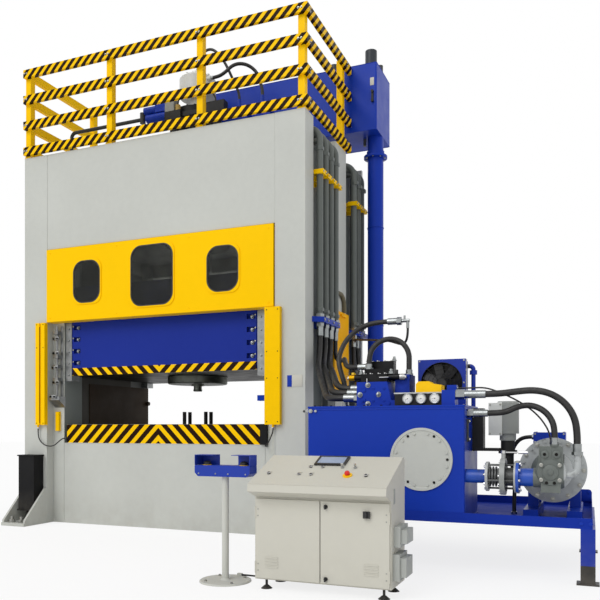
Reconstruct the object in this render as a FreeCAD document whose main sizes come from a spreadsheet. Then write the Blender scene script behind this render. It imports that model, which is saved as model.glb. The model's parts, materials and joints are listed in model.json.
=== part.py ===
import FreeCAD, Part
import math
import os
import re
import Sketcher
from FreeCAD import Placement, Rotation, Vector

# A gantry hydraulic press with its power unit, its operator's console and its two-hand stand.
# Millimetres. The origin is on the floor at the middle of the press frame's footprint,
# +X is to the operator's right, +Y away from the operator, +Z up.

SIZES = {
    # press frame: two welded uprights, a bed and a crown
    "frame_width": 4000,
    "frame_depth": 2140,
    "frame_height": 4800,
    "column_face": 370,
    "upright_width": 550,
    "bed_setback": 120,
    "bed_height": 1045,
    "crown_base": 3750,
    "crown_skirt": 190,
    "plate_seam": 5,
    "channel_depth": 180,
    "front_flange": 250,
    "rear_flange": 50,
    "rib_front": -66,
    "rib_rear": 347,
    "pit_width": 1000,
    "pit_depth": 800,
    "pit_floor": 100,
    # feet with gussets and anchors
    "foot_reach": 410,
    "foot_plate": 40,
    "gusset_height": 450,
    "gusset_plate": 30,
    "anchor_radius": 20,
    "anchor_spacing": 150,
    "post_width": 280,
    "post_base": 170,
    "post_height": 720,
    # table with its cushion
    "table_width": 2810,
    "table_height": 240,
    "table_chamfer": 6,
    "pin_radius": 25,
    "pin_spacing_x": 330,
    "pin_spacing_y": 140,
    "pin_showing": 170,
    "pin_clearance": 1,
    "cushion_width": 500,
    "cushion_depth": 300,
    "cushion_plate": 60,
    "cushion_top": 700,
    "cushion_rod": 60,
    "cushion_case": 150,
    "cushion_case_height": 350,
    "rod_in_case": 130,
    # slide, its guides and its cylinder
    "slide_width": 2660,
    "slide_front_gap": 20,
    "slide_base": 1920,
    "slide_height": 1150,
    "pocket_width": 110,
    "pocket_height": 60,
    "pocket_depth": 45,
    "pocket_pitch": 153,
    "gib_width": 150,
    "gib_depth": 105,
    "gib_base": 1850,
    "gib_clearance": 0.5,
    "stop_base": 1645,
    "cylinder_radius": 290,
    "cylinder_bore": 225,
    "cylinder_top": 5480,
    "cylinder_flange": 430,
    "flange_plate": 60,
    "gland_height": 210,
    "rod_radius": 185,
    "rod_clearance": 0.5,
    "piston_base": 4350,
    "piston_height": 150,
    "head_radius": 245,
    "head_height": 480,
    "dome_radius": 60,
    "dome_height": 120,
    "adapter_radius": 400,
    "adapter_height": 93,
    "nub_radius": 55,
    "nub_height": 95,
    # guard panel over the die space
    "guard_gap": 12,
    "guard_base": 2610,
    "guard_drop": 10,
    "guard_sheet": 6,
    "guard_depth": 140,
    "window_height": 570,
    "side_window_width": 450,
    "side_window_place": 973,
    "middle_window_width": 640,
    "middle_window_height": 775,
    "window_middle": 3098,
    "window_round": 110,
    "gasket_width": 22,
    # light curtains
    "curtain_width": 188,
    "curtain_depth": 60,
    "curtain_base": 1277,
    "curtain_height": 1325,
    "curtain_place": 1622,
    "curtain_slot": 26,
    "left_curtain_width": 150,
    "left_curtain_place": 1692,
    # railing on the crown
    "rail_line": 1950,
    "rail_depth": 1293,
    "rail_inset": 50,
    "rail_post": 80,
    "rail_height": 104,
    "rail_thick": 50,
    "rail_first": 80,
    "rail_pitch": 340,
    "rail_overhang": 180,
    # prefill tank behind the crown
    "top_tank_left": 5,
    "top_tank_width": 2369,
    "top_tank_front": 470,
    "top_tank_depth": 655,
    "saddle_height": 305,
    "top_tank_height": 863,
    "tank_lid": 14,
    "overflow_radius": 105,
    "overflow_flange": 155,
    "overflow_bend": 200,
    # riser pipes on the right upright
    "riser_out": 50,
    "riser_radius": 38,
    "riser_first": -740,
    "riser_pitch": 180,
    "rear_riser_first": 520,
    "rear_riser_pitch": 170,
    "riser_bend": 150,
    "riser_nut": 40,
    "bracket_level": 2450,
    "bracket_plate": 60,
    "clamp_level": 4150,
    "clamp_height": 50,
    "pipe_clearance": 0.5,
    "sleeve_length": 150,
    # hoses and cables
    "press_hose": 31,
    "valve_hose": 25,
    "feed_hose": 28,
    "thin_hose": 12,
    "cable_radius": 7,
    "motor_cable": 18,
    # power unit: tray on legs, tank, coolers and pumps
    "tray_left": 2500,
    "tray_front": -2356,
    "tray_length": 2444,
    "tray_depth": 1706,
    "tray_base": 445,
    "tray_rim": 85,
    "tray_floor": 10,
    "tray_wall": 6,
    "leg_width": 110,
    "leg_outset": 21,
    "leg_foot": 15,
    "tank_left": 2537,
    "tank_length": 1414,
    "tank_depth": 750,
    "tank_top": 1437,
    "tank_round": 18,
    "manhole_radius": 270,
    "manhole_plate": 14,
    "manhole_rim": 22,
    "manhole_right": 367,
    "manhole_level": 974,
    "manhole_bolts": 12,
    "manifold_left": 2942,
    "manifold_width": 325,
    "manifold_front": -2150,
    "manifold_depth": 370,
    "manifold_height": 224,
    "gauge_left": 3328,
    "gauge_width": 415,
    "gauge_height": 104,
    "gauge_dial": 46,
    "gauge_pitch": 119,
    "cooler_side": 440,
    "cooler_depth": 90,
    "cooler_core": 110,
    "cooler_left": 3432,
    "cooler_front": -1800,
    "fan_radius": 185,
    "fan_gap": 6,
    "fan_hub": 45,
    "fan_shaft": 12,
    "fan_boss": 32,
    "fan_blades": 7,
    # drive motor and main pump, on one line along Y
    "shaft_inset": 314,
    "shaft_level": 884,
    "bell_face": -1970,
    "bell_flange": 275,
    "bell_radius": 215,
    "bell_length": 200,
    "bell_plate": 32,
    "motor_radius": 225,
    "motor_length": 620,
    "motor_fins": 24,
    "fin_height": 18,
    "motor_foot": 90,
    "pump_radius": 165,
    "pump_nose": 120,
    "pump_length": 360,
    "pump_inlet": 135,
    # suction line from the tank to the pump, along X
    "suction_y": -2240,
    "suction_level": 835,
    "suction_radius": 58,
    "suction_flange": 124,
    "valve_disc": 152,
    "bellows_ribs": 4,
    # console
    "console_left": 2530,
    "console_width": 1080,
    "console_front": -3430,
    "console_depth": 390,
    "console_base": 80,
    "console_top": 1020,
    "nose_reach": 135,
    "nose_low": 765,
    "nose_high": 822,
    "door_top": 700,
    "console_wall": 20,
    "door_sheet": 16,
    "door_gap": 3,
    "door_barrel": 6,
    "latch_radius": 15,
    "stop_radius": 20,
    "stop_travel": 5.5,
    "stop_stem": 9,
    "stop_clear": 0.5,
    "stop_collar": 9,
    # two-hand stand
    "stand_x": 2187,
    "stand_y": -3275,
    "stand_base": 210,
    "stand_plate": 14,
    "stand_post": 28,
    "stand_head": 850,
    "head_width": 500,
    "head_depth": 130,
    "beam_height": 90,
    "hood_width": 165,
    "hood_height": 175,
    "hood_sheet": 4,
    "palm_radius": 32,
    "palm_height": 30,
    "palm_travel": 5,
    "palm_stem": 14,
    "palm_bore": 20,
    "running_gap": 0.3,
}

doc = FreeCAD.newDocument("hydraulic_press")
sheet = doc.addObject("Spreadsheet::Sheet", "Sizes")
for row, (name, number) in enumerate(SIZES.items(), 1):
    sheet.set(f"A{row}", str(number))
    sheet.setAlias(f"A{row}", name)
doc.recompute()

# Sizes that follow from others, as expressions.
DERIVED = {
    "guard_width": "(frame_width - 2 * column_face - 2 * guard_gap)",
    "guard_height": "(crown_base - crown_skirt - guard_drop - guard_base)",
    "top_tank_base": "(frame_height + saddle_height)",
    "shaft_x": "(tray_left + tray_length - shaft_inset)",
}

# Places worked out from the sizes, as expressions.
SIDE = "(frame_width / 2)"
FACE = "(frame_width / 2 - column_face)"
INNER = "(frame_width / 2 - upright_width)"
FRONT = "(-frame_depth / 2)"
BED_FRONT = "(bed_setback - frame_depth / 2)"
TABLE_TOP = "(bed_height + table_height)"
SLIDE_FRONT = f"({BED_FRONT} + slide_front_gap)"
SLIDE_TOP = "(slide_base + slide_height)"
RISER_X = f"({SIDE} + riser_out)"
TRAY_FLOOR = "(tray_base + tray_floor)"
TANK_FRONT = "(tray_front + tray_wall)"
TANK_RIGHT = "(tank_left + tank_length)"
HEAD_TOP = "(cylinder_top + head_height)"

TURNS = {
    "z": Rotation(),
    "x": Rotation(Vector(0, 1, 0), 90),
    "y": Rotation(Vector(1, 0, 0), -90),
    "-x": Rotation(Vector(0, 1, 0), -90),
    "-y": Rotation(Vector(1, 0, 0), 90),
    "-z": Rotation(Vector(1, 0, 0), 180),
}
WORD = re.compile(r"[a-z][a-z0-9_]*")
nodes = []


# ---- helpers -------------------------------------------------------------------------------

def bound(text):
    """The expression with each size name tied to its cell of the sheet."""
    text = WORD.sub(lambda w: DERIVED.get(w[0], w[0]), str(text))
    return WORD.sub(lambda w: "Sizes." + w[0] if w[0] in SIZES else w[0], text)


def value(text):
    """The number that an expression of sizes has."""
    return float(sheet.evalExpression(bound(text)))


def tie(item, **sizes):
    for name, text in sizes.items():
        item.setExpression(name, bound(text))
    return item


def set_down(item, corner, turn=TURNS["z"]):
    """Places an item at a corner given as expressions, turned as asked."""
    item.Placement = Placement(Vector(), turn)
    for letter, text in zip("xyz", corner):
        item.setExpression(f"Placement.Base.{letter}", bound(text))
    return item


def box(corner, size):
    item = tie(doc.addObject("Part::Box", "Block"), Length=size[0], Width=size[1], Height=size[2])
    return set_down(item, corner)


def rod(start, axis, radius, length):
    item = tie(doc.addObject("Part::Cylinder", "Rod"), Radius=radius, Height=length)
    return set_down(item, start, TURNS[axis])


def taper(start, axis, first, last, length):
    item = tie(doc.addObject("Part::Cone", "Taper"), Radius1=first, Radius2=last, Height=length)
    return set_down(item, start, TURNS[axis])


def hexagon(start, axis, radius, length):
    item = tie(doc.addObject("Part::Prism", "Hexagon"), Circumradius=radius, Height=length)
    item.Polygon = 6
    return set_down(item, start, TURNS[axis])


def joined(pieces):
    """One solid from pieces that meet."""
    item = doc.addObject("Part::MultiFuse", "Joined")
    item.Shapes = pieces
    item.Refine = True
    return item


def group(pieces):
    """Separate solids kept in one sub-part."""
    item = doc.addObject("Part::Compound", "Group")
    item.Links = pieces
    return item


def cut(base, tools):
    item = doc.addObject("Part::Cut", "Cut")
    item.Base = base
    item.Tool = tools[0] if len(tools) == 1 else group(tools)
    return item


def mirrored(item, normal):
    """The piece's mirror image across a plane through the origin."""
    image = doc.addObject("Part::Mirroring", "Mirrored")
    image.Source = item
    image.Normal = normal
    return image


def node(label, item):
    item.Label = label
    nodes.append(item)
    return item


def draw(sketch, loop):
    """Draws one closed loop: a circle as (x, y, radius) or straight edges through points."""
    def pin(kind, geometry, point, text):
        number = value(text)
        if abs(number) < 1e-9:
            axis = -2 if kind == "DistanceX" else -1
            sketch.addConstraint(Sketcher.Constraint("PointOnObject", geometry, point, axis))
            return
        index = sketch.addConstraint(Sketcher.Constraint(kind, -1, 1, geometry, point, number))
        tag = f"at{index}"
        sketch.renameConstraint(index, tag)
        sketch.setExpression(f"Constraints.{tag}", bound(text))

    if isinstance(loop[0], str):
        x, y, radius = loop
        centre = Vector(value(x), value(y), 0)
        ring = sketch.addGeometry(Part.Circle(centre, Vector(0, 0, 1), value(radius)))
        pin("DistanceX", ring, 3, x)
        pin("DistanceY", ring, 3, y)
        index = sketch.addConstraint(Sketcher.Constraint("Radius", ring, value(radius)))
        sketch.renameConstraint(index, f"radius{index}")
        sketch.setExpression(f"Constraints.radius{index}", bound(radius))
        return
    corners = [Vector(value(x), value(y), 0) for x, y in loop]
    edges = [
        sketch.addGeometry(Part.LineSegment(corner, corners[(i + 1) % len(corners)]))
        for i, corner in enumerate(corners)
    ]
    for i, edge in enumerate(edges):
        after = edges[(i + 1) % len(edges)]
        sketch.addConstraint(Sketcher.Constraint("Coincident", edge, 2, after, 1))
    for edge, (x, y) in zip(edges, loop):
        pin("DistanceX", edge, 1, x)
        pin("DistanceY", edge, 1, y)


def sketch_on(body, plane, loops, offset="0"):
    """A sketch of loops on one of the body's own origin planes, moved along its normal."""
    item = body.newObject("Sketcher::SketchObject", "Outline")
    own = [f for f in body.Origin.OriginFeatures if f.Role == plane + "_Plane"][0]
    item.AttachmentSupport = [(own, "")]
    item.MapMode = "FlatFace"
    item.setExpression("AttachmentOffset.Base.z", bound(offset))
    for loop in loops:
        draw(item, loop)
    return item


def slab(plane, loops, start, length):
    """A body padded from a sketch on XY, XZ or YZ, from start for length along +Z, +Y or +X."""
    body = doc.addObject("PartDesign::Body", "Body")
    flip = plane == "XZ"
    outline = sketch_on(body, plane, loops, f"-({start})" if flip else start)
    pad = body.newObject("PartDesign::Pad", "Pad")
    pad.Profile = outline
    pad.Reversed = flip
    tie(pad, Length=length)
    return body


def hollow(body, plane, loops, start, length):
    """Cuts loops out of a body, from start for length along the plane's row axis."""
    doc.recompute()
    before = body.Tip.Shape.Volume
    flip = plane == "XZ"
    outline = sketch_on(body, plane, loops, f"-({start})" if flip else start)
    pocket = body.newObject("PartDesign::Pocket", "Pocket")
    pocket.Profile = outline
    pocket.Reversed = not flip
    tie(pocket, Length=length)
    doc.recompute()
    if not body.Tip.Shape.Volume < before - 1:
        raise ValueError(f"a pocket of {body.Label} cuts nothing")
    return body


def rounded(body, radius, chosen):
    """Rounds the edges of the body that chosen picks by their middle point and direction."""
    doc.recompute()
    last = body.Tip
    names = []
    for i, edge in enumerate(last.Shape.Edges, 1):
        if edge.Curve.TypeId == "Part::GeomLine":
            ends = edge.Vertexes
            along = (ends[1].Point - ends[0].Point).normalize()
            if chosen(edge.CenterOfMass, along):
                names.append(f"Edge{i}")
    round_off = body.newObject("PartDesign::Fillet", "Round")
    round_off.Base = (last, names)
    tie(round_off, Radius=radius)
    return body


def along(letter):
    """Picks every straight edge that runs along X, Y or Z."""
    return lambda middle, direction: abs(getattr(direction, letter)) > 0.999


def turned(profile, base, axis="z"):
    """A body of revolution of (radius, height) points round its own axis."""
    body = doc.addObject("PartDesign::Body", "Body")
    outline = sketch_on(body, "XZ", [profile])
    turn = body.newObject("PartDesign::Revolution", "Revolution")
    turn.Profile = outline
    turn.ReferenceAxis = (outline, ["V_Axis"])
    turn.Angle = 360
    return set_down(body, base, TURNS[axis])


def rectangle(x, y, wide, deep):
    """The four corners of a rectangle from its lower corner."""
    return [(x, y), (f"{x} + {wide}", y), (f"{x} + {wide}", f"{y} + {deep}"), (x, f"{y} + {deep}")]


def centred(x, y, wide, deep):
    """The four corners of a rectangle round its middle."""
    return rectangle(f"{x} - ({wide}) / 2", f"{y} - ({deep}) / 2", wide, deep)


def ring_places(count, radius):
    """Evenly spaced places round a circle, as pairs of expressions."""
    steps = int(value(count))
    return [
        (f"({radius}) * cos({360 * i / steps + 15})", f"({radius}) * sin({360 * i / steps + 15})")
        for i in range(steps)
    ]


def path_wire(points, radii):
    """Straight runs joined by tangent arcs of the given radii."""
    edges = []
    here = points[0]
    for i in range(1, len(points) - 1):
        corner = points[i]
        back = (points[i - 1] - corner).normalize()
        on = (points[i + 1] - corner).normalize()
        half_turn = (math.pi - back.getAngle(on)) / 2
        reach = radii[i - 1] * math.tan(half_turn)
        first = corner + back * reach
        last = corner + on * reach
        inward = (back + on).normalize()
        centre = corner + inward * (radii[i - 1] / math.cos(half_turn))
        middle = centre - inward * radii[i - 1]
        if (first - here).Length > 0.01:
            edges.append(Part.LineSegment(here, first).toShape())
        edges.append(Part.Arc(first, middle, last).toShape())
        here = last
    edges.append(Part.LineSegment(here, points[-1]).toShape())
    return Part.Wire(edges)


def swept(points, radii, radius):
    """A round bar along a path, with its volume compared with section times length."""
    wire = path_wire(points, radii)
    start = (points[1] - points[0]).normalize()
    section = Part.Wire([Part.Circle(points[0], start, radius).toShape()])
    solid = wire.makePipeShell([section], True, False)
    expected = math.pi * radius**2 * wire.Length
    if abs(solid.Volume / expected - 1) > 0.01:
        raise ValueError(f"a tube holds {solid.Volume / expected:.3f} of its section times length")
    return solid, wire.Length


def pipe(points, bend, radius):
    """A rigid round pipe through corners given as expressions."""
    corners = [Vector(*(value(text) for text in point)) for point in points]
    solid, length = swept(corners, [value(bend)] * (len(corners) - 2), value(radius))
    item = doc.addObject("Part::Feature", "Pipe")
    item.Shape = solid
    return item


def hose(title, points, radius):
    """A free hose or cable. Each bend takes 0.45 of its shorter run."""
    corners = [Vector(*point) for point in points]
    radii = []
    for before, corner, after in zip(corners, corners[1:], corners[2:]):
        turn = (corner - before).getAngle(after - corner)
        shorter = min((corner - before).Length, (after - corner).Length)
        radii.append(0.45 * shorter / math.tan(turn / 2))
    solid, length = swept(corners, radii, value(radius))
    tightest = min(radii) / (2 * value(radius))
    print(f"{title}: {length / 1000:.3f} m, radii", [round(r) for r in radii],
          f"tightest {tightest:.1f} diameters")
    item = doc.addObject("Part::Feature", "Hose")
    item.Shape = solid
    return item


# ---- press frame ---------------------------------------------------------------------------

def upright(side):
    """A welded column: stepped at the front, channelled on its outer side for the pipes."""
    far = "(frame_depth / 2)"
    step = "(frame_depth / 2 - bed_setback)"
    back = "(frame_width / 2 - channel_depth)"
    plan = [
        (SIDE, FRONT), (FACE, FRONT), (FACE, BED_FRONT), (INNER, BED_FRONT),
        (INNER, step), (FACE, step), (FACE, far), (SIDE, far),
        (SIDE, f"{far} - rear_flange"), (back, f"{far} - rear_flange"),
        (back, "rib_rear"), (SIDE, "rib_rear"), (SIDE, "rib_front"), (back, "rib_front"),
        (back, f"{FRONT} + front_flange"), (SIDE, f"{FRONT} + front_flange"),
    ]
    plan = [(f"{side} * {x}", y) for x, y in plan]
    return slab("XY", [plan], "0", "frame_height")


def bed():
    """The lower beam between the uprights, with the pit that holds the cushion."""
    span = f"2 * {INNER}"
    block = slab("XY", [centred("0", "0", span, f"-2 * {BED_FRONT}")], "0", "bed_height")
    pit = [centred("0", "0", "pit_width", "pit_depth")]
    return hollow(block, "XY", pit, "pit_floor", "bed_height - pit_floor")


def crown():
    """The upper beam, its front and rear skins and the bore that takes the cylinder."""
    beam = box((f"-{INNER}", BED_FRONT, "crown_base"),
               (f"2 * {INNER}", f"-2 * {BED_FRONT}", "frame_height - crown_base"))
    skins = [
        box((f"plate_seam - {FACE}", y, "crown_base - crown_skirt"),
            (f"2 * {FACE} - 2 * plate_seam", "bed_setback - 3", "frame_height - crown_base + crown_skirt"))
        for y in (f"{FRONT} + 3", f"-{BED_FRONT}")
    ]
    bore = rod(("0", "0", "crown_base - 1"), "z", "cylinder_radius + 1",
               "frame_height - crown_base + 2")
    return cut(joined([beam, *skins]), [bore])


def foot():
    """The front left foot: a floor plate with two gussets up the column."""
    plate = box((f"-{SIDE}", f"{FRONT} - foot_reach", "0"),
                ("column_face", "foot_reach", "foot_plate"))
    toe = f"({FRONT} - foot_reach + 20)"
    rib = [(FRONT, "foot_plate"), (toe, "foot_plate"), (toe, "foot_plate + 30"),
           (f"{FRONT} - 35", "gusset_height"), (FRONT, "gusset_height")]
    ribs = [slab("YZ", [rib], x, "gusset_plate")
            for x in (f"-{SIDE}", f"-{FACE} - gusset_plate")]
    holes = [rod((x, y, "-1"), "z", "anchor_radius + 2", "foot_plate + 2")
             for x, y in anchor_places()]
    return cut(joined([plate, *ribs]), holes)


def anchor_places():
    middle = f"(-{SIDE} + column_face / 2)"
    return [(f"{middle} + {sign} * anchor_spacing / 2", f"{FRONT} - foot_reach + 75")
            for sign in (-1, 1)]


def four_corners(piece):
    """The piece at the front left and its images at the other three corners."""
    right = mirrored(piece, Vector(1, 0, 0))
    return group([piece, right, mirrored(piece, Vector(0, 1, 0)),
                  mirrored(right, Vector(0, 1, 0))])


def anchors():
    """Anchor bolts through the front left foot, each with its washer and nut."""
    bolts = []
    for x, y in anchor_places():
        bolts.append(joined([
            rod((x, y, "0"), "z", "anchor_radius", "foot_plate + 75"),
            rod((x, y, "foot_plate"), "z", "anchor_radius + 18", "6"),
            hexagon((x, y, "foot_plate + 6"), "z", "anchor_radius + 14", "32"),
        ]))
    return group(bolts)


def foot_post():
    """The black upright box between the gussets, with a plate at each end."""
    middle = f"(-{SIDE} + column_face / 2)"
    deep = "(foot_reach * 0.45)"
    left = f"{middle} - post_width / 2"
    back = f"({FRONT} - {deep})"
    web = box((f"{left} + 14", f"{back} + 12", "post_base"),
              ("post_width - 28", f"{deep} - 12", "post_height"))
    ends = [box((left, back, z), ("post_width", deep, "16"))
            for z in ("post_base", "post_base + post_height - 16")]
    legs = box((f"{left} + 40", f"{FRONT} - 60", "foot_plate"),
               ("post_width - 80", "60", "post_base - foot_plate"))
    return joined([web, *ends, legs])


def table():
    """The bolster plate with the four holes that the cushion pins pass through."""
    holes = [(x, y, "pin_radius + pin_clearance") for x, y in pin_places()]
    plate = slab("XY", [centred("0", "0", "table_width", f"-2 * {BED_FRONT}"), *holes],
                 "bed_height", "table_height")
    top = value(TABLE_TOP)
    return rounded(plate, "table_chamfer",
                   lambda middle, direction: middle.z > top - 1 and abs(direction.x) > 0.9)


def pin_places():
    return [(f"{sx} * pin_spacing_x / 2", f"{sy} * pin_spacing_y / 2")
            for sx in (-1, 1) for sy in (-1, 1)]


def cushion_pins():
    return group([rod((x, y, "cushion_top"), "z", "pin_radius",
                      f"{TABLE_TOP} + pin_showing - cushion_top") for x, y in pin_places()])


def cushion_plate():
    """The pressure plate under the pins, on the rod that its cylinder lifts."""
    under = "(cushion_top - cushion_plate)"
    plate = slab("XY", [centred("0", "0", "cushion_width", "cushion_depth")],
                 under, "cushion_plate")
    plate = rounded(plate, "20", along("z"))
    low = "(pit_floor + cushion_case_height - rod_in_case)"
    return joined([plate, rod(("0", "0", low), "z", "cushion_rod", f"{under} - {low}")])


def cushion_cylinder():
    wall = "(cushion_rod + rod_clearance)"
    return turned([(wall, "30"), ("0", "30"), ("0", "0"), ("cushion_case + 40", "0"),
                   ("cushion_case + 40", "25"), ("cushion_case", "25"),
                   ("cushion_case", "cushion_case_height"), (wall, "cushion_case_height")],
                  ("0", "0", "pit_floor"))


# ---- slide, guides and main cylinder -------------------------------------------------------

def slide():
    """The ram: a welded block with bolt pockets in its front and wear faces at its corners."""
    deep = f"(-2 * {SLIDE_FRONT})"
    block = slab("XY", [centred("0", "0", "slide_width", deep)], "slide_base", "slide_height")
    pockets = []
    places = [(f"{side} * (slide_width / 2 - pocket_width / 2 - 15)",
               f"(slide_base + 165 + {i} * pocket_pitch)") for side in (-1, 1) for i in range(6)]
    for x, z in places:
        pockets.append(centred(x, z, "pocket_width", "pocket_height"))
    block = hollow(block, "XZ", pockets, SLIDE_FRONT, "pocket_depth")
    bolts = []
    for x, z in places:
        bolts.append(hexagon((x, f"{SLIDE_FRONT} + pocket_depth - 18", z), "y", "15", "18"))
    pads = [
        box((x, y, "slide_base + 40"),
            (f"{INNER} - gib_depth - gib_clearance - slide_width / 2", "gib_width - 20",
             "slide_height - 80"))
        for x in ("slide_width / 2", f"-({INNER} - gib_depth - gib_clearance)")
        for y in (f"{SLIDE_FRONT} + 10", f"-{SLIDE_FRONT} - gib_width + 10")
    ]
    return joined([block, *bolts, *pads])


def guide_rails():
    """Four gibs on the uprights' inner walls, and the stop bar with its blocks at the left."""
    rails = [
        box((x, y, "gib_base"), ("gib_depth", "gib_width", "crown_base - gib_base"))
        for x in (f"-{INNER}", f"{INNER} - gib_depth")
        for y in (SLIDE_FRONT, f"-{SLIDE_FRONT} - gib_width")
    ]
    bar_x = f"(-{INNER} - 75)"
    bar_y = f"({BED_FRONT} - 50)"
    bar = rod((bar_x, bar_y, "stop_base"), "z", "15", "guard_base - stop_base - 40")
    guide = box((f"{bar_x} + 30", f"{BED_FRONT} - 14", "stop_base"),
                ("34", "14", "guard_base - stop_base - 40"))
    blocks = [
        box((f"{bar_x} - 38", f"{BED_FRONT} - 82", f"stop_base + {z}"), ("76", "82", "42"))
        for z in (205, 375, 500, 815)
    ]
    near = f"({BED_FRONT} - 120)"
    shelf = slab("YZ", [[(BED_FRONT, "stop_base"), (near, "stop_base"), (near, "stop_base - 45"),
                         (BED_FRONT, "stop_base - 140")]], f"{bar_x} - 70", "165")
    return group([*rails, joined([bar, guide, *blocks, shelf])])


def main_cylinder():
    """The cylinder barrel, flanged under the crown, with the gland that the rod runs in."""
    gland = "(crown_base + gland_height - flange_plate)"
    low = "(crown_base - flange_plate)"
    rod_bore = "(rod_radius + rod_clearance)"
    return turned([
        (rod_bore, low), ("cylinder_flange", low), ("cylinder_flange", "crown_base"),
        ("cylinder_radius", "crown_base"), ("cylinder_radius", "cylinder_top - 110"),
        ("cylinder_radius + 35", "cylinder_top - 110"), ("cylinder_radius + 35", "cylinder_top"),
        ("0", "cylinder_top"), ("0", "cylinder_top - 60"),
        ("cylinder_bore", "cylinder_top - 60"), ("cylinder_bore", gland), (rod_bore, gland),
    ], ("0", "0", "0"))


def cylinder_head():
    """The filling valve over the barrel: a neck, a bolted drum and a small dome."""
    low = "(cylinder_top + 230)"
    drum = turned([
        ("0", "cylinder_top"), ("150", "cylinder_top"), ("150", "cylinder_top + 30"),
        ("95", "cylinder_top + 30"), ("95", low), ("head_radius", low),
        ("head_radius", f"{HEAD_TOP} - 25"), ("head_radius - 25", HEAD_TOP),
        ("dome_radius + 20", HEAD_TOP), ("dome_radius", f"{HEAD_TOP} + 30"),
        ("dome_radius", f"{HEAD_TOP} + dome_height - 25"),
        ("dome_radius - 25", f"{HEAD_TOP} + dome_height"), ("0", f"{HEAD_TOP} + dome_height"),
    ], ("0", "0", "0"))
    bolts = [rod((x, y, f"{HEAD_TOP} - 1"), "z", "16", "20")
             for x, y in ring_places("12", "head_radius - 45")]
    boss = rod(("200", "-100", "5890"), "x", "30", "65")
    return joined([drum, *bolts, boss])


def piston_rod():
    """The rod from the slide's top, with the piston that runs in the barrel."""
    ring = "(cylinder_bore - rod_clearance)"
    return turned([
        ("0", SLIDE_TOP), ("rod_radius + 90", SLIDE_TOP), ("rod_radius + 90", f"{SLIDE_TOP} + 45"),
        ("rod_radius", f"{SLIDE_TOP} + 45"), ("rod_radius", "piston_base"),
        (ring, "piston_base"), (ring, "piston_base + piston_height"),
        ("0", "piston_base + piston_height"),
    ], ("0", "0", "0"))


def punch_adapter():
    """The round tool plate under the slide, with its centring nub."""
    low = "(-adapter_height)"
    return turned([
        ("0", "0"), ("adapter_radius", "0"), ("adapter_radius", f"{low} + 12"),
        ("adapter_radius - 12", low), ("nub_radius + 30", low),
        ("nub_radius + 30", f"{low} - 22"), ("nub_radius", f"{low} - 22"),
        ("nub_radius", f"{low} - nub_height + 26"), ("nub_radius + 8", f"{low} - nub_height + 22"),
        ("nub_radius", f"{low} - nub_height"), ("0", f"{low} - nub_height"),
    ], ("0", "0", "slide_base"))


# ---- guard panel and light curtains --------------------------------------------------------

def windows():
    """Middle and size of each window: left, middle and right."""
    return [
        ("-side_window_place", "window_middle - 5", "side_window_width", "window_height"),
        ("0", "window_middle", "middle_window_width", "middle_window_height"),
        ("side_window_place", "window_middle - 5", "side_window_width", "window_height"),
    ]


def window_block(x, z, wide, high, front, thick, inset="0"):
    """A rounded block the size of a window, less an inset all round."""
    block = slab("XZ", [centred(x, z, f"{wide} - 2 * ({inset})", f"{high} - 2 * ({inset})")],
                 front, thick)
    return rounded(block, f"window_round - {inset}", along("y"))


def guard_panel():
    """A folded sheet pan with three windows, each with a raised rubber frame."""
    face = f"({FRONT} - 20)"
    pan = slab("XZ", [rectangle("-guard_width / 2", "guard_base", "guard_width", "guard_height")],
               face, "guard_depth")
    inside = rectangle("guard_sheet - guard_width / 2", "guard_base + guard_sheet",
                       "guard_width - 2 * guard_sheet", "guard_height - 2 * guard_sheet")
    pan = hollow(pan, "XZ", [inside], f"{face} + guard_sheet", "guard_depth - guard_sheet")
    openings = [window_block(*w, f"{face} - 1", "guard_sheet + 2", "gasket_width / 2")
                for w in windows()]
    frames = []
    for w in windows():
        outer = window_block(*w, f"{face} - 8", "8", "0")
        inner = window_block(*w, f"{face} - 9", "10", "gasket_width / 2")
        frames.append(cut(outer, [inner]))
    return joined([cut(pan, openings), *frames])


def window_panes():
    face = f"({FRONT} - 20)"
    return group([window_block(*w, f"{face} - 4", "6", "gasket_width / 2")
                  for w in windows()])


def right_curtain():
    """A flat housing in front of the right upright, with its cable gland."""
    near = f"({FRONT} - curtain_depth)"
    housing = box(("curtain_place - curtain_width / 2", near, "curtain_base"),
                  ("curtain_width", "curtain_depth", "curtain_height"))
    gland = rod(("curtain_place", f"{near} + 30", "curtain_base - 30"), "z", "14", "30")
    return joined([housing, gland])


def left_curtain():
    """The opposite housing, with the groove that its beams leave by."""
    x = "(-left_curtain_place)"
    wide = "left_curtain_width / 2"
    near = f"({FRONT} - curtain_depth)"
    slot = "(curtain_slot / 2)"
    deep = "(curtain_depth * 0.35)"
    plan = [
        (f"{x} - {wide}", near), (f"{x} - {slot}", near),
        (f"{x} - {slot}", f"{near} + {deep}"), (f"{x} + {slot}", f"{near} + {deep}"),
        (f"{x} + {slot}", near), (f"{x} + {wide}", near),
        (f"{x} + {wide}", FRONT), (f"{x} - {wide}", FRONT),
    ]
    housing = slab("XY", [plan], "curtain_base", "curtain_height")
    gland = rod((f"{x} - 58", f"{near} + 30", "curtain_base - 30"), "z", "12", "30")
    return joined([housing, gland])


def light_curtains():
    """Both housings, a sensor bar on the left upright and a small box on the right one."""
    sensor = box((f"-{INNER} - 112", f"{BED_FRONT} - 40", "curtain_base - 77"), ("55", "40", "250"))
    junction = box((f"{INNER} - 98", BED_FRONT, "curtain_base + 278"), ("98", "80", "65"))
    return group([left_curtain(), right_curtain(), sensor, junction])


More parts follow.
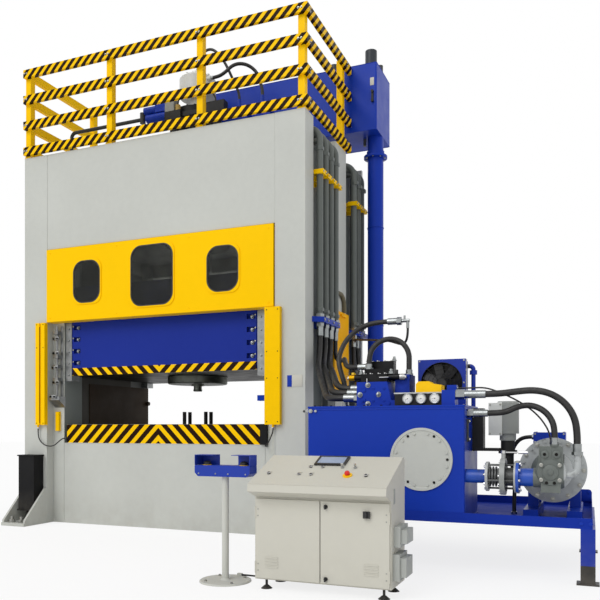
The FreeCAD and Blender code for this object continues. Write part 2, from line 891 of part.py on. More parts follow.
def side_panel():
    """The dark sheet over the left upright's inner wall, and its latch."""
    sheet_x = f"(-{INNER})"
    panel = box((sheet_x, "-frame_depth * 0.21", f"{TABLE_TOP} + 15"),
                ("10", "frame_depth * 0.65", f"gib_base - {TABLE_TOP} - 20"))
    latch = rod((f"{sheet_x} + 10", "frame_depth * 0.42", f"{TABLE_TOP} + 325"), "x", "30", "45")
    return joined([panel, latch])


def table_stop():
    """The black block at the right end of the table."""
    return box(("table_width / 2", f"{BED_FRONT} - 40", "bed_height"),
               ("85", "40", "table_height"))


def cable_duct():
    """The black elbow over the middle rib of the right upright."""
    x = f"({SIDE} + 26)"
    return pipe([(x, "rib_front - 80", "2920"), (x, "rib_front + 270", "2920"),
                 (x, "rib_front + 270", "2702")], "150", "26")


# ---- railing -------------------------------------------------------------------------------

def post_places():
    """The six railing posts: four along the front and two at the rear."""
    near = f"({FRONT} + rail_inset)"
    row = [(f"rail_line * {k} / 3", near) for k in (-3, -1, 1, 3)]
    back = f"({near} + rail_depth)"
    return row + [("-rail_line", back), ("rail_line", back)]


def railing_posts():
    """Square posts on small plates, bolted to the deck."""
    high = "rail_first + 3 * rail_pitch + rail_height / 2"
    posts = []
    for x, y in post_places():
        posts.append(joined([
            box((f"{x} - rail_post / 2", f"{y} - rail_post / 2", "frame_height"),
                ("rail_post", "rail_post", high)),
            box((f"{x} - 50", f"{y} - 50", "frame_height"), ("100", "100", "12")),
        ]))
    return group(posts)


def railing_rails():
    """Four levels of flat rails outside the posts: front, left and right."""
    half = "rail_post / 2"
    near = f"({FRONT} + rail_inset)"
    rails = []
    for level in range(4):
        z = f"(frame_height + rail_first + {level} * rail_pitch - rail_height / 2)"
        rails.append(box((f"-rail_line - {half}", f"{near} - {half} - rail_thick", z),
                         (f"2 * rail_line + 2 * ({half}) + rail_thick", "rail_thick", "rail_height")))
        rails.append(box((f"rail_line + {half}", f"{near} - {half}", z),
                         ("rail_thick", "rail_depth + rail_post / 2 + rail_overhang", "rail_height")))
        rails.append(box((f"-rail_line - rail_thick / 2", f"{near} + {half}", z),
                         ("rail_thick", "rail_depth - rail_post", "rail_height")))
    return group(rails)


# ---- prefill tank and deck -----------------------------------------------------------------

def top_tank():
    """The filling tank behind the crown: a sheet box on two saddles, with its level gauge."""
    block = slab("XY", [rectangle("top_tank_left", "top_tank_front", "top_tank_width",
                                  "top_tank_depth")], "top_tank_base", "top_tank_height")
    block = rounded(block, "tank_round", along("z"))
    saddles = [box((x, "top_tank_front + 60", "frame_height"),
                   ("90", "top_tank_depth - 120", "top_tank_base - frame_height"))
               for x in ("top_tank_left + 220", "top_tank_left + 1400")]
    return joined([block, *saddles])


def tank_fittings():
    """Filter caps and a level gauge on the filling tank, its drain, and the main tank's vent."""
    top = "(top_tank_base + top_tank_height)"
    right = "(top_tank_left + top_tank_width)"
    middle = "top_tank_front + 270"
    big = joined([
        rod((f"{right} - 153", middle, top), "z", "70", "60"),
        rod((f"{right} - 153", middle, f"{top} + 60"), "z", "78", "230"),
    ])
    small = rod((f"{right} - 45", f"{middle} + 60", top), "z", "38", "106")
    third = joined([
        rod((f"{right} - 673", middle, top), "z", "30", "110"),
        rod((f"{right} - 673", middle, f"{top} + 110"), "z", "50", "95"),
    ])
    gauge_x = f"({right} - 53)"
    gauge = joined([
        box((f"{gauge_x} - 14", "top_tank_front - 16", "top_tank_base + 355"), ("28", "16", "144")),
        *[rod((gauge_x, "top_tank_front", f"top_tank_base + {z}"), "-y", "18", "28")
          for z in (367, 487)],
    ])
    drain = rod((f"{right} - 240", middle, "top_tank_base"), "-z", "20", "95")
    port = "tank_top - 42"
    plugs = [
        joined([rod(("tank_left - 60", f"{TANK_FRONT} + 45", port), "x", "11", "60"),
                hexagon(("tank_left - 26", f"{TANK_FRONT} + 45", port), "x", "22", "26")]),
        joined([rod(("tank_left + 32", TANK_FRONT, port), "-y", "11", "22"),
                hexagon(("tank_left + 32", TANK_FRONT, port), "-y", "20", "14")]),
        rod(("tank_left + 80", TANK_FRONT, port), "-y", "11", "16"),
    ]
    level = joined([
        box((TANK_RIGHT, f"{TANK_FRONT} + 105", "tank_top - 310"), ("14", "34", "190")),
        *[rod((TANK_RIGHT, f"{TANK_FRONT} + 122", f"tank_top - {z}"), "x", "16", "24")
          for z in (295, 135)],
    ])
    return group([big, small, third, gauge, drain, *plugs, level])


def overflow_pipe():
    """The wide return pipe from the filling tank down and round to the main tank's rear."""
    x = "(top_tank_left + top_tank_width - 100)"
    y = "(top_tank_front + 300)"
    level = "(tank_top - 487)"
    rear = f"({TANK_FRONT} + tank_depth)"
    across = "(tank_left + 213)"
    run = pipe([(x, y, "top_tank_base"), (x, y, level), (across, y, level),
                (across, rear, level)], "overflow_bend", "overflow_radius")
    flanges = [
        rod((x, y, "top_tank_base - 275"), "z", "overflow_flange", "30"),
        rod((x, y, "top_tank_base - 245"), "z", "overflow_radius + 12", "60"),
        rod((across, rear, level), "y", "overflow_flange", "30"),
    ]
    return joined([run, *flanges])


def deck_valves():
    """Valves and pipes on the crown: blue valves, a black block, brass stubs and a cross pipe."""
    deck = "frame_height"
    y = "(-cylinder_radius - 100)"
    block = box(("-241", f"{y} - 55", "5270"), ("241", "110", "111"))
    block_foot = box(("-165", f"{y} - 40", deck), ("90", "80", f"5270 - {deck}"))
    grey = box(("-241", f"{y} - 45", "5381"), ("134", "90", "172"))
    brass = rod(("-69", y, "5381"), "z", "34", "83")
    blue = [
        rod(("-577", y, "5462"), "x", "50", "180"),
        rod(("-539", y, "5352"), "x", "56", "298"),
        box(("-397", f"{y} - 44", "5408"), ("156", "88", "115")),
    ]
    stub = rod(("-615", y, "5310"), "z", "38", "138")
    cross = pipe([("-630", y, "5365"), ("-1800", y, "5365"), ("-1800", y, deck)], "70", "24")
    right = box(("350", f"{y} - 20", "5260"), ("270", "110", "160"))
    right_foot = box(("450", f"{y}", deck), ("80", "70", f"5260 - {deck}"))
    bar = box(("0", f"{y} - 20", "5300"), ("350", "34", "60"))
    header = rod(("500", "120", "5500"), "x", "18", "500")
    clips = [box((x, "120", "5480"), ("30", "top_tank_front - 120", "40")) for x in ("600", "940")]
    stems = [rod((x, "120", "5500"), "z", "24", "140") for x in ("570", "913")]
    return group([joined([block, block_foot, grey, brass, *blue, stub, cross, bar, right,
                          right_foot]), joined([header, *clips, *stems])])


# ---- pipes up the right side ---------------------------------------------------------------

def front_risers():
    return [f"(riser_first + {i} * riser_pitch)" for i in range(4)]


def rear_risers():
    return [f"(rear_riser_first + {i} * rear_riser_pitch)" for i in range(3)]


def riser_pipes():
    """Steel pipes from the brackets up the right upright, turning into it under the deck."""
    base = "(bracket_level + bracket_plate + riser_nut)"
    top = "(frame_height - 100)"
    back = f"({SIDE} - channel_depth)"
    return group([
        pipe([(RISER_X, y, base), (RISER_X, y, top), (back, y, top)], "riser_bend", "riser_radius")
        for y in front_risers() + rear_risers()
    ])


def pipe_clamps():
    """A clamp on every riser, on an arm from the upright, and the plate on the middle rib."""
    back = f"({SIDE} - channel_depth)"
    clamps = []
    for y in front_risers() + rear_risers():
        plan = rectangle(f"{RISER_X} - 62", f"{y} - 62", "124", "124")
        hole = (RISER_X, y, "riser_radius + pipe_clearance")
        clamps.append(joined([
            slab("XY", [plan, hole], "clamp_level", "clamp_height"),
            box((back, f"{y} - 20", "clamp_level"), (f"{RISER_X} - 62 - {back}", "40", "clamp_height")),
        ]))
    side = slab("YZ", [[("rib_front - 84", "1707"), ("rib_rear + 13", "1707"),
                        ("rib_rear + 53", "1760"), ("rib_rear + 53", "2702"),
                        ("rib_front - 84", "2702")]], SIDE, "20")
    lip = box((f"{SIDE} + 20", "rib_front + 120", "2640"), ("30", "180", "30"))
    return group([*clamps, joined([side, lip])])


def bracket(risers, first, last, inner_first, inner_last):
    """A blue bulkhead plate with bevelled ends, let into the upright's channel."""
    reach = f"({SIDE} + 2 * riser_out + 20)"
    back = f"({SIDE} - channel_depth)"
    plan = [(SIDE, first), (reach, f"{first} + 70"), (reach, f"{last} - 70"), (SIDE, last),
            (SIDE, inner_last), (back, inner_last), (back, inner_first), (SIDE, inner_first)]
    holes = [(RISER_X, y, "riser_radius - 12") for y in risers]
    return slab("XY", [plan, *holes], "bracket_level", "bracket_plate")


def bulkhead_brackets():
    front_last = "(riser_first + 3 * riser_pitch)"
    front = bracket(front_risers(), "(riser_first - 125)", f"({front_last} + 40)",
                    "(riser_first - 60)", f"({front_last} + 10)")
    rear_last = "(rear_riser_first + 2 * rear_riser_pitch)"
    rear = bracket(rear_risers(), "(rear_riser_first - 110)", f"({rear_last} + 185)",
                   "(rear_riser_first - 90)", f"({rear_last} + 140)")
    return group([front, rear])


# ---- hoses, cables and their fittings ------------------------------------------------------

def hydraulic_hoses():
    """Every free hose, in millimetres along its route."""
    press = "press_hose"
    return group([
        hose("press hose first", [
            (2050, -740, 2300), (2050, -740, 2190), (2058, -790, 2060), (2088, -890, 1955),
            (2156, -1050, 1858), (2252, -1245, 1775), (2354, -1462, 1690), (2450, -1670, 1618),
            (2529, -1842, 1568), (2594, -1980, 1536), (2655, -2033, 1524), (2722, -2060, 1520),
            (2792, -2060, 1520)], press),
        hose("press hose second", [
            (2050, -560, 2300), (2050, -560, 2197), (2058, -613, 2075), (2090, -718, 1983),
            (2160, -886, 1901), (2258, -1092, 1833), (2362, -1320, 1758), (2458, -1539, 1691),
            (2536, -1720, 1642), (2600, -1866, 1602), (2655, -1922, 1581), (2722, -1950, 1570),
            (2792, -1950, 1570)], press),
        hose("press hose third", [
            (2050, -380, 2300), (2050, -380, 2204), (2058, -435, 2091), (2091, -546, 2013),
            (2162, -723, 1948), (2261, -939, 1896), (2366, -1179, 1833), (2462, -1409, 1776),
            (2536, -1590, 1728), (2597, -1738, 1686), (2652, -1808, 1645), (2722, -1840, 1620),
            (2792, -1840, 1620)], press),
        hose("press hose fourth", [
            (2050, -200, 2300), (2050, -200, 2215), (2066, -250, 2122), (2130, -372, 2055),
            (2228, -560, 2022), (2330, -765, 2004), (2420, -965, 1991), (2490, -1160, 1977),
            (2552, -1345, 1957), (2618, -1525, 1927), (2680, -1690, 1885), (2720, -1789, 1850),
            (2761, -1826, 1832), (2808, -1844, 1825), (2862, -1844, 1825)], "valve_hose"),
        hose("bleed hose", [
            (2690, -1714, 1500), (2690, -1714, 1580), (2676, -1716, 1688), (2637, -1712, 1797),
            (2604, -1692, 1905), (2612, -1640, 2015), (2650, -1590, 2120), (2724, -1545, 2210),
            (2832, -1515, 2275), (2960, -1500, 2300), (3060, -1500, 2300)], "valve_hose"),
        hose("gauge hose", [
            (3262, -1500, 2225), (3262, -1500, 2131), (3208, -1446, 2068), (3082, -1293, 2113),
            (2986, -1152, 2151), (2888, -1021, 2172), (2813, -901, 2193), (2744, -779, 2212),
            (2673, -658, 2231), (2608, -539, 2248), (2540, -410, 2266), (2473, -282, 2284),
            (2413, -169, 2299), (2342, -41, 2317), (2267, 94, 2336), (2180, 236, 2364),
            (2090, 353, 2373), (2090, 453, 2373)], "thin_hose"),
        hose("loop hose", [
            (3005, -1960, 1841), (3005, -1960, 1917), (3036, -1948, 1997), (3101, -1926, 2057),
            (3185, -1905, 2079), (3270, -1889, 2061), (3337, -1898, 2006), (3373, -1902, 1928),
            (3372, -1902, 1840), (3372, -1902, 1781)], "valve_hose"),
        hose("return hose left", [
            (2050, 520, 2300), (2050, 520, 2136), (2088, 430, 1954), (2164, 257, 1859),
            (2241, 68, 1788), (2335, -123, 1748), (2434, -310, 1705), (2536, -497, 1667),
            (2643, -682, 1636), (2750, -868, 1603), (2858, -1055, 1580), (2948, -1252, 1564),
            (2990, -1465, 1560), (2990, -1640, 1560)],
             "feed_hose"),
        hose("return hose right", [
            (2050, 690, 2300), (2050, 690, 2111), (2140, 608, 1918), (2258, 423, 1835),
            (2311, 194, 1832), (2421, -10, 1789), (2537, -208, 1744), (2655, -405, 1704),
            (2774, -602, 1673), (2888, -803, 1643), (2991, -1010, 1624), (3080, -1224, 1606),
            (3120, -1452, 1600), (3120, -1640, 1600)],
             "feed_hose"),
        hose("pump pressure hose", [
            (4112, -2250, 1528), (4217, -2250, 1528), (4360, -2250, 1545), (4489, -2254, 1555),
            (4613, -2258, 1532), (4721, -2263, 1465), (4799, -2267, 1359), (4830, -2270, 1231),
            (4830, -2270, 1115)],
             "feed_hose"),
        hose("pump control hose", [
            (4122, -2200, 1368), (4186, -2200, 1368), (4274, -2204, 1377), (4349, -2206, 1414),
            (4433, -2229, 1433), (4514, -2254, 1420), (4584, -2276, 1379), (4633, -2291, 1319),
            (4660, -2300, 1244), (4660, -2300, 1164)], "valve_hose"),
        hose("filling hose", [
            (295, -100, 5890), (385, -100, 5890), (485, -103, 5931), (563, -79, 6007),
            (640, -33, 6044), (721, 19, 6041), (795, 65, 6000), (854, 94, 5926),
            (882, 107, 5829), (913, 120, 5721), (913, 120, 5640)], "valve_hose - 3"),
        hose("vent hose", [
            (0, 0, 6100), (0, 0, 6189), (52, -5, 6280), (145, -22, 6326), (247, -38, 6309),
            (325, -31, 6243), (385, -14, 6165), (433, 5, 6078), (473, 23, 5989), (507, 48, 5899),
            (541, 84, 5813), (570, 120, 5717), (570, 120, 5640)], "valve_hose - 7"),
        hose("deck hose", [
            (-69, -390, 5464), (-69, -390, 5529), (-29, -367, 5592), (47, -353, 5613),
            (126, -365, 5609), (204, -383, 5600), (283, -391, 5591), (361, -387, 5576),
            (435, -373, 5548), (480, -365, 5483), (480, -365, 5420)], "thin_hose"),
    ])


def control_cables():
    """The light curtains' leads, the unit's cables and the stand's lead on the floor."""
    thin = "cable_radius"
    return group([
        hose("left curtain cable", [
            (-1750, -1100, 1247), (-1750, -1100, 1174), (-1733, -1101, 1090),
            (-1671, -1099, 1030), (-1591, -1094, 1000), (-1505, -1084, 1005),
            (-1431, -1085, 1057), (-1412, -1025, 1105), (-1412, -970, 1105)], thin),
        hose("right curtain cable", [
            (1622, -1100, 1247), (1622, -1100, 1203), (1601, -1099, 1154), (1577, -1093, 1106),
            (1546, -1078, 1066), (1506, -1056, 1037), (1480, -1010, 1030), (1480, -970, 1030)], thin),
        hose("valve cable", [
            (3872, -2190, 1585), (3970, -2190, 1585), (4105, -2185, 1588), (4233, -2180, 1537),
            (4349, -2174, 1480), (4459, -2162, 1408), (4554, -2148, 1314), (4625, -2135, 1184),
            (4625, -2135, 1090)], thin),
        hose("motor cable", [
            (4435, -1600, 1160), (4372, -1600, 1160), (4308, -1600, 1122), (4262, -1600, 1040),
            (4258, -1600, 930), (4276, -1598, 800), (4286, -1602, 690), (4280, -1600, 580),
            (4280, -1600, 475)], "motor_cable"),
        hose("stand cable", [
            (2247, -3098, 22), (2298, -3098, 22), (2350, -3070, 14), (2401, -3039, 9),
            (2453, -3007, 7), (2507, -2977, 7), (2565, -2953, 10), (2620, -2922, 7),
            (2672, -2906, 40), (2706, -2927, 84), (2720, -2973, 110), (2720, -3020, 110)], thin),
    ])


def sleeve(start, axis, radius, length):
    """A crimped hose end: a ribbed sleeve and a hexagon nut."""
    return joined([
        rod(start, axis, f"{radius} * 1.22", length),
        hexagon(start, axis, f"{radius} * 1.55", f"({length}) * 0.3"),
    ])


def hose_fittings():
    """Crimped ends, nuts and glands where the hoses and cables meet what carries them."""
    under = "bracket_level"
    short = "sleeve_length"
    fittings = [sleeve((RISER_X, y, under), "-z", "press_hose", short)
                for y in front_risers()[:3]]
    fittings.append(sleeve((RISER_X, front_risers()[3], under), "-z", "valve_hose", short))
    fittings += [sleeve((RISER_X, y, under), "-z", "feed_hose", short)
                 for y in rear_risers()[:2]]
    fittings += [
        hexagon((RISER_X, y, "bracket_level + bracket_plate"), "z", "riser_radius * 1.4", "riser_nut")
        for y in front_risers() + rear_risers()
    ]
    left = "manifold_left"
    for y, z in (("-2060", "1520"), ("-1950", "1570"), ("-1840", "1620")):
        fittings.append(sleeve((left, y, z), "-x", "press_hose", short))
    rear = "(manifold_front + manifold_depth)"
    for x, z in (("2990", "1560"), ("3120", "1600")):
        fittings.append(sleeve((x, rear, z), "y", "feed_hose", f"-1640 - {rear}"))
    block = f"({TANK_RIGHT} - 88)"
    fittings += [
        sleeve(("manifold_left + 30", "-1844", "1825"), "-x", "valve_hose", "110"),
        sleeve(("2690", "-1714", "tank_top"), "z", "valve_hose", "1500 - tank_top"),
        sleeve(("3005", "-1960", "1791"), "z", "valve_hose", "50"),
        sleeve(("3372", "-1902", "1731"), "z", "valve_hose", "50"),
        sleeve((block, "-2250", "1528"), "x", "feed_hose", f"4112 - {block}"),
        sleeve((TANK_RIGHT, "-2200", "1368"), "x", "valve_hose", f"4122 - {TANK_RIGHT}"),
        sleeve(("4830", "-2270", "1025"), "z", "feed_hose", "90"),
        sleeve(("4660", "-2300", "1110"), "z", "valve_hose", "54"),
        joined([
            rod(("3060", "-1500", "2300"), "x", "33", "95"),
            hexagon(("3155", "-1500", "2300"), "x", "40", "45"),
            rod(("3200", "-1500", "2300"), "x", "17", "80"),
            rod(("3262", "-1500", "2225"), "z", "15", "90"),
            rod(("3230", "-1500", "2300"), "z", "10", "52"),
        ]),
        joined([
            rod(("2090", "470", "2356"), "z", "14", f"{under} - 2356"),
            box(("2073", "453", "2356"), ("34", "34", "34")),
        ]),
        rod(("265", "-100", "5890"), "x", "24", "30"),
        rod(("0", "0", f"{HEAD_TOP} + dome_height"), "z", "24", f"6100 - {HEAD_TOP} - dome_height"),
        rod(("-1412", BED_FRONT, "1105"), "-y", "11", "20"),
        rod(("1480", BED_FRONT, "1030"), "-y", "11", "20"),
        rod((block, "-2190", "1585"), "x", "12", f"3872 - {block}"),
        rod(("4625", "-2135", "1060"), "z", "13", "30"),
        rod(("shaft_x - 175", "-1600", "1160"), "-x", "24", "20"),
        rod(("4280", "-1600", TRAY_FLOOR), "z", "26", f"475 - {TRAY_FLOOR}"),
        rod(("2720", "(console_front + console_depth)", "110"), "y", "11", "20"),
    ]
    return group(fittings)


# ---- power unit ----------------------------------------------------------------------------

def drip_tray():
    """The shallow tray that everything on the unit stands in."""
    block = slab("XY", [rectangle("tray_left", "tray_front", "tray_length", "tray_depth")],
                 "tray_base", "tray_rim")
    inside = rectangle("tray_left + tray_wall", "tray_front + tray_wall",
                       "tray_length - 2 * tray_wall", "tray_depth - 2 * tray_wall")
    return hollow(block, "XY", [inside], TRAY_FLOOR, "tray_rim - tray_floor")


def unit_legs():
    """Four legs under the tray, joined in pairs by cross bearers."""
    left = "(tray_left - leg_outset)"
    right = "(tray_left + tray_length + leg_outset - leg_width)"
    legs = []
    for x in (left, right):
        bearer = box((x, "tray_front", "tray_base - 100"), ("leg_width", "tray_depth", "100"))
        parts = [bearer]
        for y in ("tray_front", "tray_front + tray_depth - leg_width"):
            parts.append(box((x, y, "leg_foot"), ("leg_width", "leg_width", "tray_base - leg_foot")))
            parts.append(box((f"{x} - 30", f"{y} - 5", "0"),
                             ("leg_width + 60", "leg_width + 10", "leg_foot")))
        legs.append(joined(parts))
    return group(legs)


def oil_tank():
    """The main tank: a box with rounded corners, a top plate and a connection block."""
    block = slab("XY", [rectangle("tank_left", TANK_FRONT, "tank_length", "tank_depth")],
                 TRAY_FLOOR, f"tank_top - tank_lid - {TRAY_FLOOR}")
    block = rounded(block, "tank_round", along("z"))
    lid = slab("XY", [rectangle("tank_left - 4", f"{TANK_FRONT} - 4", "tank_length + 8",
                                "tank_depth + 8")], "tank_top - tank_lid", "tank_lid")
    lid = rounded(lid, "tank_round", along("z"))
    link = box((f"{TANK_RIGHT} - 201", "-2300", "tank_top"), ("113", "160", "130"))
    plug = box((f"{TANK_RIGHT} - 170", "-2225", "tank_top + 130"), ("82", "70", "45"))
    return joined([block, lid, link, plug])


def manhole_cover():
    """The round inspection cover: a plate with a raised rim and a ring of bolts."""
    edge = "manhole_radius"
    x = f"({TANK_RIGHT} - manhole_right)"
    plate = turned([("0", "0"), (edge, "0"), (edge, "manhole_plate"),
                    (f"{edge} - manhole_rim", "manhole_plate"),
                    (f"{edge} - manhole_rim - 5", "manhole_plate - 5"), ("0", "manhole_plate - 5")],
                   (x, TANK_FRONT, "manhole_level"), "-y")
    bolts = [
        hexagon((f"{x} + {dx}", f"{TANK_FRONT} - manhole_plate + 6", f"manhole_level + {dz}"),
                "-y", "13", "12")
        for dx, dz in ring_places("manhole_bolts", f"{edge} - manhole_rim - 22")
    ]
    return joined([plate, *bolts])


def valve_manifold():
    """The drilled block on the tank that the press hoses screw into, stepped at the top."""
    top = "(tank_top + manifold_height)"
    left = "manifold_left"
    right = "(manifold_left + manifold_width)"
    profile = [(left, "tank_top"), (right + " + 90", "tank_top"), (right + " + 90", "tank_top + 55"),
               (right, "tank_top + 55"), (f"{right} - 40", top), (left, top)]
    block = slab("XZ", [profile], "manifold_front", "manifold_depth")
    plugs = [
        rod((x, "manifold_front", z), "-y", "17", "10")
        for x, z in ((f"{left} + 70", "tank_top + 60"), (f"{left} + 70", "tank_top + 150"),
                     (f"{left} + 190", "tank_top + 110"), (f"{left} + 300", "tank_top + 28"))
    ]
    return joined([block, *plugs])


def valve_stack():
    """Directional valves on the manifold: blocks with solenoids, and the bleed fitting."""
    base = "(tank_top + manifold_height)"
    parts = []
    for i in range(3):
        y = f"(manifold_front + 30 + {i} * 115)"
        parts.append(box(("manifold_left + 30", y, base), ("250", "92", f"{75 + i * 55 + (i == 2) * 25}")))
        parts.append(rod(("manifold_left - 95", f"{y} + 46", f"{base} + 45"), "x", "28", "125"))
        parts.append(rod(("manifold_left + 280", f"{y} + 46", f"{base} + 45"), "x", "28", "150"))
    parts.append(box(("manifold_left + manifold_width", "manifold_front + 140", "tank_top + 55"),
                     ("135", "220", f"{base} + 70 - tank_top - 55")))
    return joined(parts)


def gauge_panel():
    """The gauge board on the tank, its three dials and the stepped yellow cover above."""
    front = f"({TANK_FRONT} + 90)"
    board = box(("gauge_left", front, "tank_top"), ("gauge_width", "60", "gauge_height"))
    shelf = box(("gauge_left - 5", f"{front} - 6", "tank_top + gauge_height"),
                ("gauge_width + 10", "250", "12"))
    dials = []
    for i in range(3):
        x = f"(gauge_left + 119 + {i} * gauge_pitch)"
        z = "(tank_top + 60)"
        dials.append(turned([("0", "0"), ("gauge_dial", "0"), ("gauge_dial", "20"),
                             ("gauge_dial - 6", "20"), ("gauge_dial - 6", "14"), ("0", "14")],
                            (x, front, z), "-y"))
    legs = [box((x, f"{front} + 60", "tank_top"), ("20", "184", "gauge_height"))
            for x in ("gauge_left + 60", "gauge_left + gauge_width - 20")]
    top = "(tank_top + gauge_height + 12)"
    step = [("gauge_left + 168", top), ("gauge_left + 395", top),
            ("gauge_left + 395", f"{top} + 66"), ("gauge_left + 310", f"{top} + 80"),
            ("gauge_left + 285", f"{top} + 100"), ("gauge_left + 190", f"{top} + 100"),
            ("gauge_left + 168", f"{top} + 76")]
    cover = slab("XZ", [step], f"{front} + 90", "140")
    return group([joined([board, shelf, *dials, *legs]), cover])


def cooler_housing():
    """The oil cooler: a cowl with its fan opening, a core behind it and its pipe."""
    middle_x = "(cooler_left + cooler_side / 2)"
    middle_z = "(tank_top + cooler_side / 2)"
    cowl = slab("XZ", [centred(middle_x, middle_z, "cooler_side", "cooler_side"),
                       (middle_x, middle_z, "fan_radius + fan_gap")],
                "cooler_front", "cooler_depth")
    core_y = "(cooler_front + cooler_depth)"
    core = box(("cooler_left + 10", core_y, "tank_top"),
               ("cooler_side - 20", "cooler_core", "cooler_side - 12"))
    spokes = [
        box((f"{middle_x} - fan_radius - 12", f"{core_y} - 8", f"{middle_z} - 10"),
            ("2 * fan_radius + 24", "8", "20")),
        box((f"{middle_x} - 10", f"{core_y} - 8", f"{middle_z} - fan_radius - 12"),
            ("20", "8", "2 * fan_radius + 24")),
        rod((middle_x, f"{core_y} - fan_boss", middle_z), "y", "fan_hub - 7", "fan_boss"),
    ]
    bore = rod((middle_x, f"{core_y} - fan_boss - 1", middle_z), "y", "fan_shaft + running_gap", "24")
    return cut(joined([cowl, core, *spokes]), [bore])


def cooler_pipe():
    """The cooler's blue outlet pipe, down to the tank."""
    right = "(cooler_left + cooler_side - 10)"
    y = "(cooler_front + cooler_depth + cooler_core / 2)"
    z = "(tank_top + cooler_side - 60)"
    x = f"({TANK_RIGHT} - 30)"
    run = pipe([(right, y, z), (x, y, z), (x, y, "tank_top")], "34", "20")
    collar = rod((x, y, f"{z} - 80"), "z", "34", "40")
    return joined([run, collar])


def cooler_fan():
    """A hub with tilted blades, its shaft in the bore of the cowl's spider."""
    middle = ("cooler_left + cooler_side / 2", "cooler_front + 20",
              "tank_top + cooler_side / 2")
    hub_end = "(cooler_depth - fan_boss - 20 - running_gap)"
    hub = rod(middle, "y", "fan_hub", hub_end)
    shaft = rod(middle, "y", "fan_shaft", f"{hub_end} + 20")
    blades = []
    for i in range(int(value("fan_blades"))):
        blade = doc.addObject("Part::Box", "Blade")
        tie(blade, Length="fan_radius - 40", Width="5", Height="78")
        turn = Rotation(Vector(0, 1, 0), 360 * i / value("fan_blades"))
        tilt = Rotation(Vector(1, 0, 0), 22)
        lift = turn.multVec(Vector(38, 28, -36))
        blade.Placement = Placement(Vector(), turn.multiply(tilt))
        for letter, text, shift in zip("xyz", middle, lift):
            blade.setExpression(f"Placement.Base.{letter}", bound(f"{text} + ({shift})"))
        blades.append(blade)
    return joined([hub, shaft, *blades])


def circulation_pump():
    """The small upright motor with its box, on a pump hung from the tank by a plate."""
    x = f"({TANK_RIGHT} + 300)"
    y = "(cooler_front - 60)"
    low = "(tank_top - 515)"
    motor = turned([("0", "0"), ("70", "0"), ("70", "60"), ("95", "60"), ("95", "330"),
                    ("85", "345"), ("0", "345")], (x, y, "tank_top - 305"))
    fins = [
        box((f"{x} + {math.cos(math.radians(a)) * 90:.1f} - 4",
             f"{y} + {math.sin(math.radians(a)) * 90:.1f} - 4", "tank_top - 235"),
            ("8", "8", "250"))
        for a in range(-75, 256, 30)
    ]
    terminal = box((f"{x} - 155", f"{y} - 95", "tank_top - 260"), ("115", "150", "285"))
    pump = turned([("0", "0"), ("50", "0"), ("50", "95"), ("80", "95"), ("80", "125"),
                   ("60", "125"), ("60", "210"), ("0", "210")], (x, y, low))
    plate = box((TANK_RIGHT, f"{y} - 60", "tank_top - 400"), (f"{x} - 60 - {TANK_RIGHT}", "120", "26"))
    back = box((TANK_RIGHT, f"{y} - 70", "tank_top - 400"), ("95", "140", "380"))
    return group([joined([motor, *fins, terminal]), joined([pump, plate, back])])


def suction_line():
    """Tank nozzle, rubber bellows with tie rods, butterfly valve and the pump's inlet pipe."""
    y = "suction_y"
    z = "suction_level"
    start = TANK_RIGHT
    nozzle = rod((start, y, z), "x", "suction_radius", "165")
    flange_one = rod((f"{start} + 165", y, z), "x", "suction_flange", "22")
    bellows_at = f"({start} + 187)"
    count = int(value("bellows_ribs"))
    profile = [("0", "0")]
    for i in range(count):
        profile += [("suction_radius", f"{i * 24}"), ("suction_radius + 26", f"{i * 24 + 6}"),
                    ("suction_radius + 26", f"{i * 24 + 15}"), ("suction_radius", f"{i * 24 + 21}")]
    profile += [("suction_radius", f"{count * 24}"), ("0", f"{count * 24}")]
    bellows = turned(profile, (bellows_at, y, z), "x")
    disc_at = f"({bellows_at} + {count * 24})"
    disc = rod((disc_at, y, z), "x", "valve_disc", "42")
    body = rod((f"{disc_at} + 42", y, z), "x", "suction_radius + 18", "70")
    far = f"({disc_at} + 112)"
    flange_two = rod((far, y, z), "x", "suction_flange + 8", "14")
    flange_blue = rod((f"{far} + 14", y, z), "x", "suction_flange + 12", "24")
    last = rod((f"{far} + 38", y, z), "x", "suction_radius + 16",
               f"shaft_x - pump_inlet - {far} - 38")
    rods = [
        rod((f"{start} + 165", f"{y} + ({dy})", f"{z} + ({dz})"), "x", "9", f"{far} - {start} - 165")
        for dy, dz in ring_places("4", "suction_flange - 22")
    ]
    neck = rod((f"{disc_at} + 21", y, f"{z} + valve_disc - 20"), "z", "17", "62")
    return joined([nozzle, flange_one, bellows, disc, body, flange_two, flange_blue, last,
                   *rods, neck])


def butterfly_handle():
    """The lever on the suction valve's stem."""
    count = int(value("bellows_ribs"))
    x = f"({TANK_RIGHT} + 187 + {count * 24} + 21)"
    z = "(suction_level + valve_disc + 42 + running_gap)"
    return joined([
        rod((x, "suction_y", z), "z", "22", "24"),
        box((x, "suction_y - 12", f"{z} + 6"), ("185", "24", "9")),
        rod((f"{x} + 120", "suction_y", f"{z} + 10"), "x", "13", "75"),
    ])


def bell_housing_profile():
    return [("150", "0"), ("bell_flange", "0"), ("bell_flange", "bell_plate"),
            ("bell_radius", "bell_plate"), ("bell_radius", "bell_length"),
            ("150", "bell_length")]


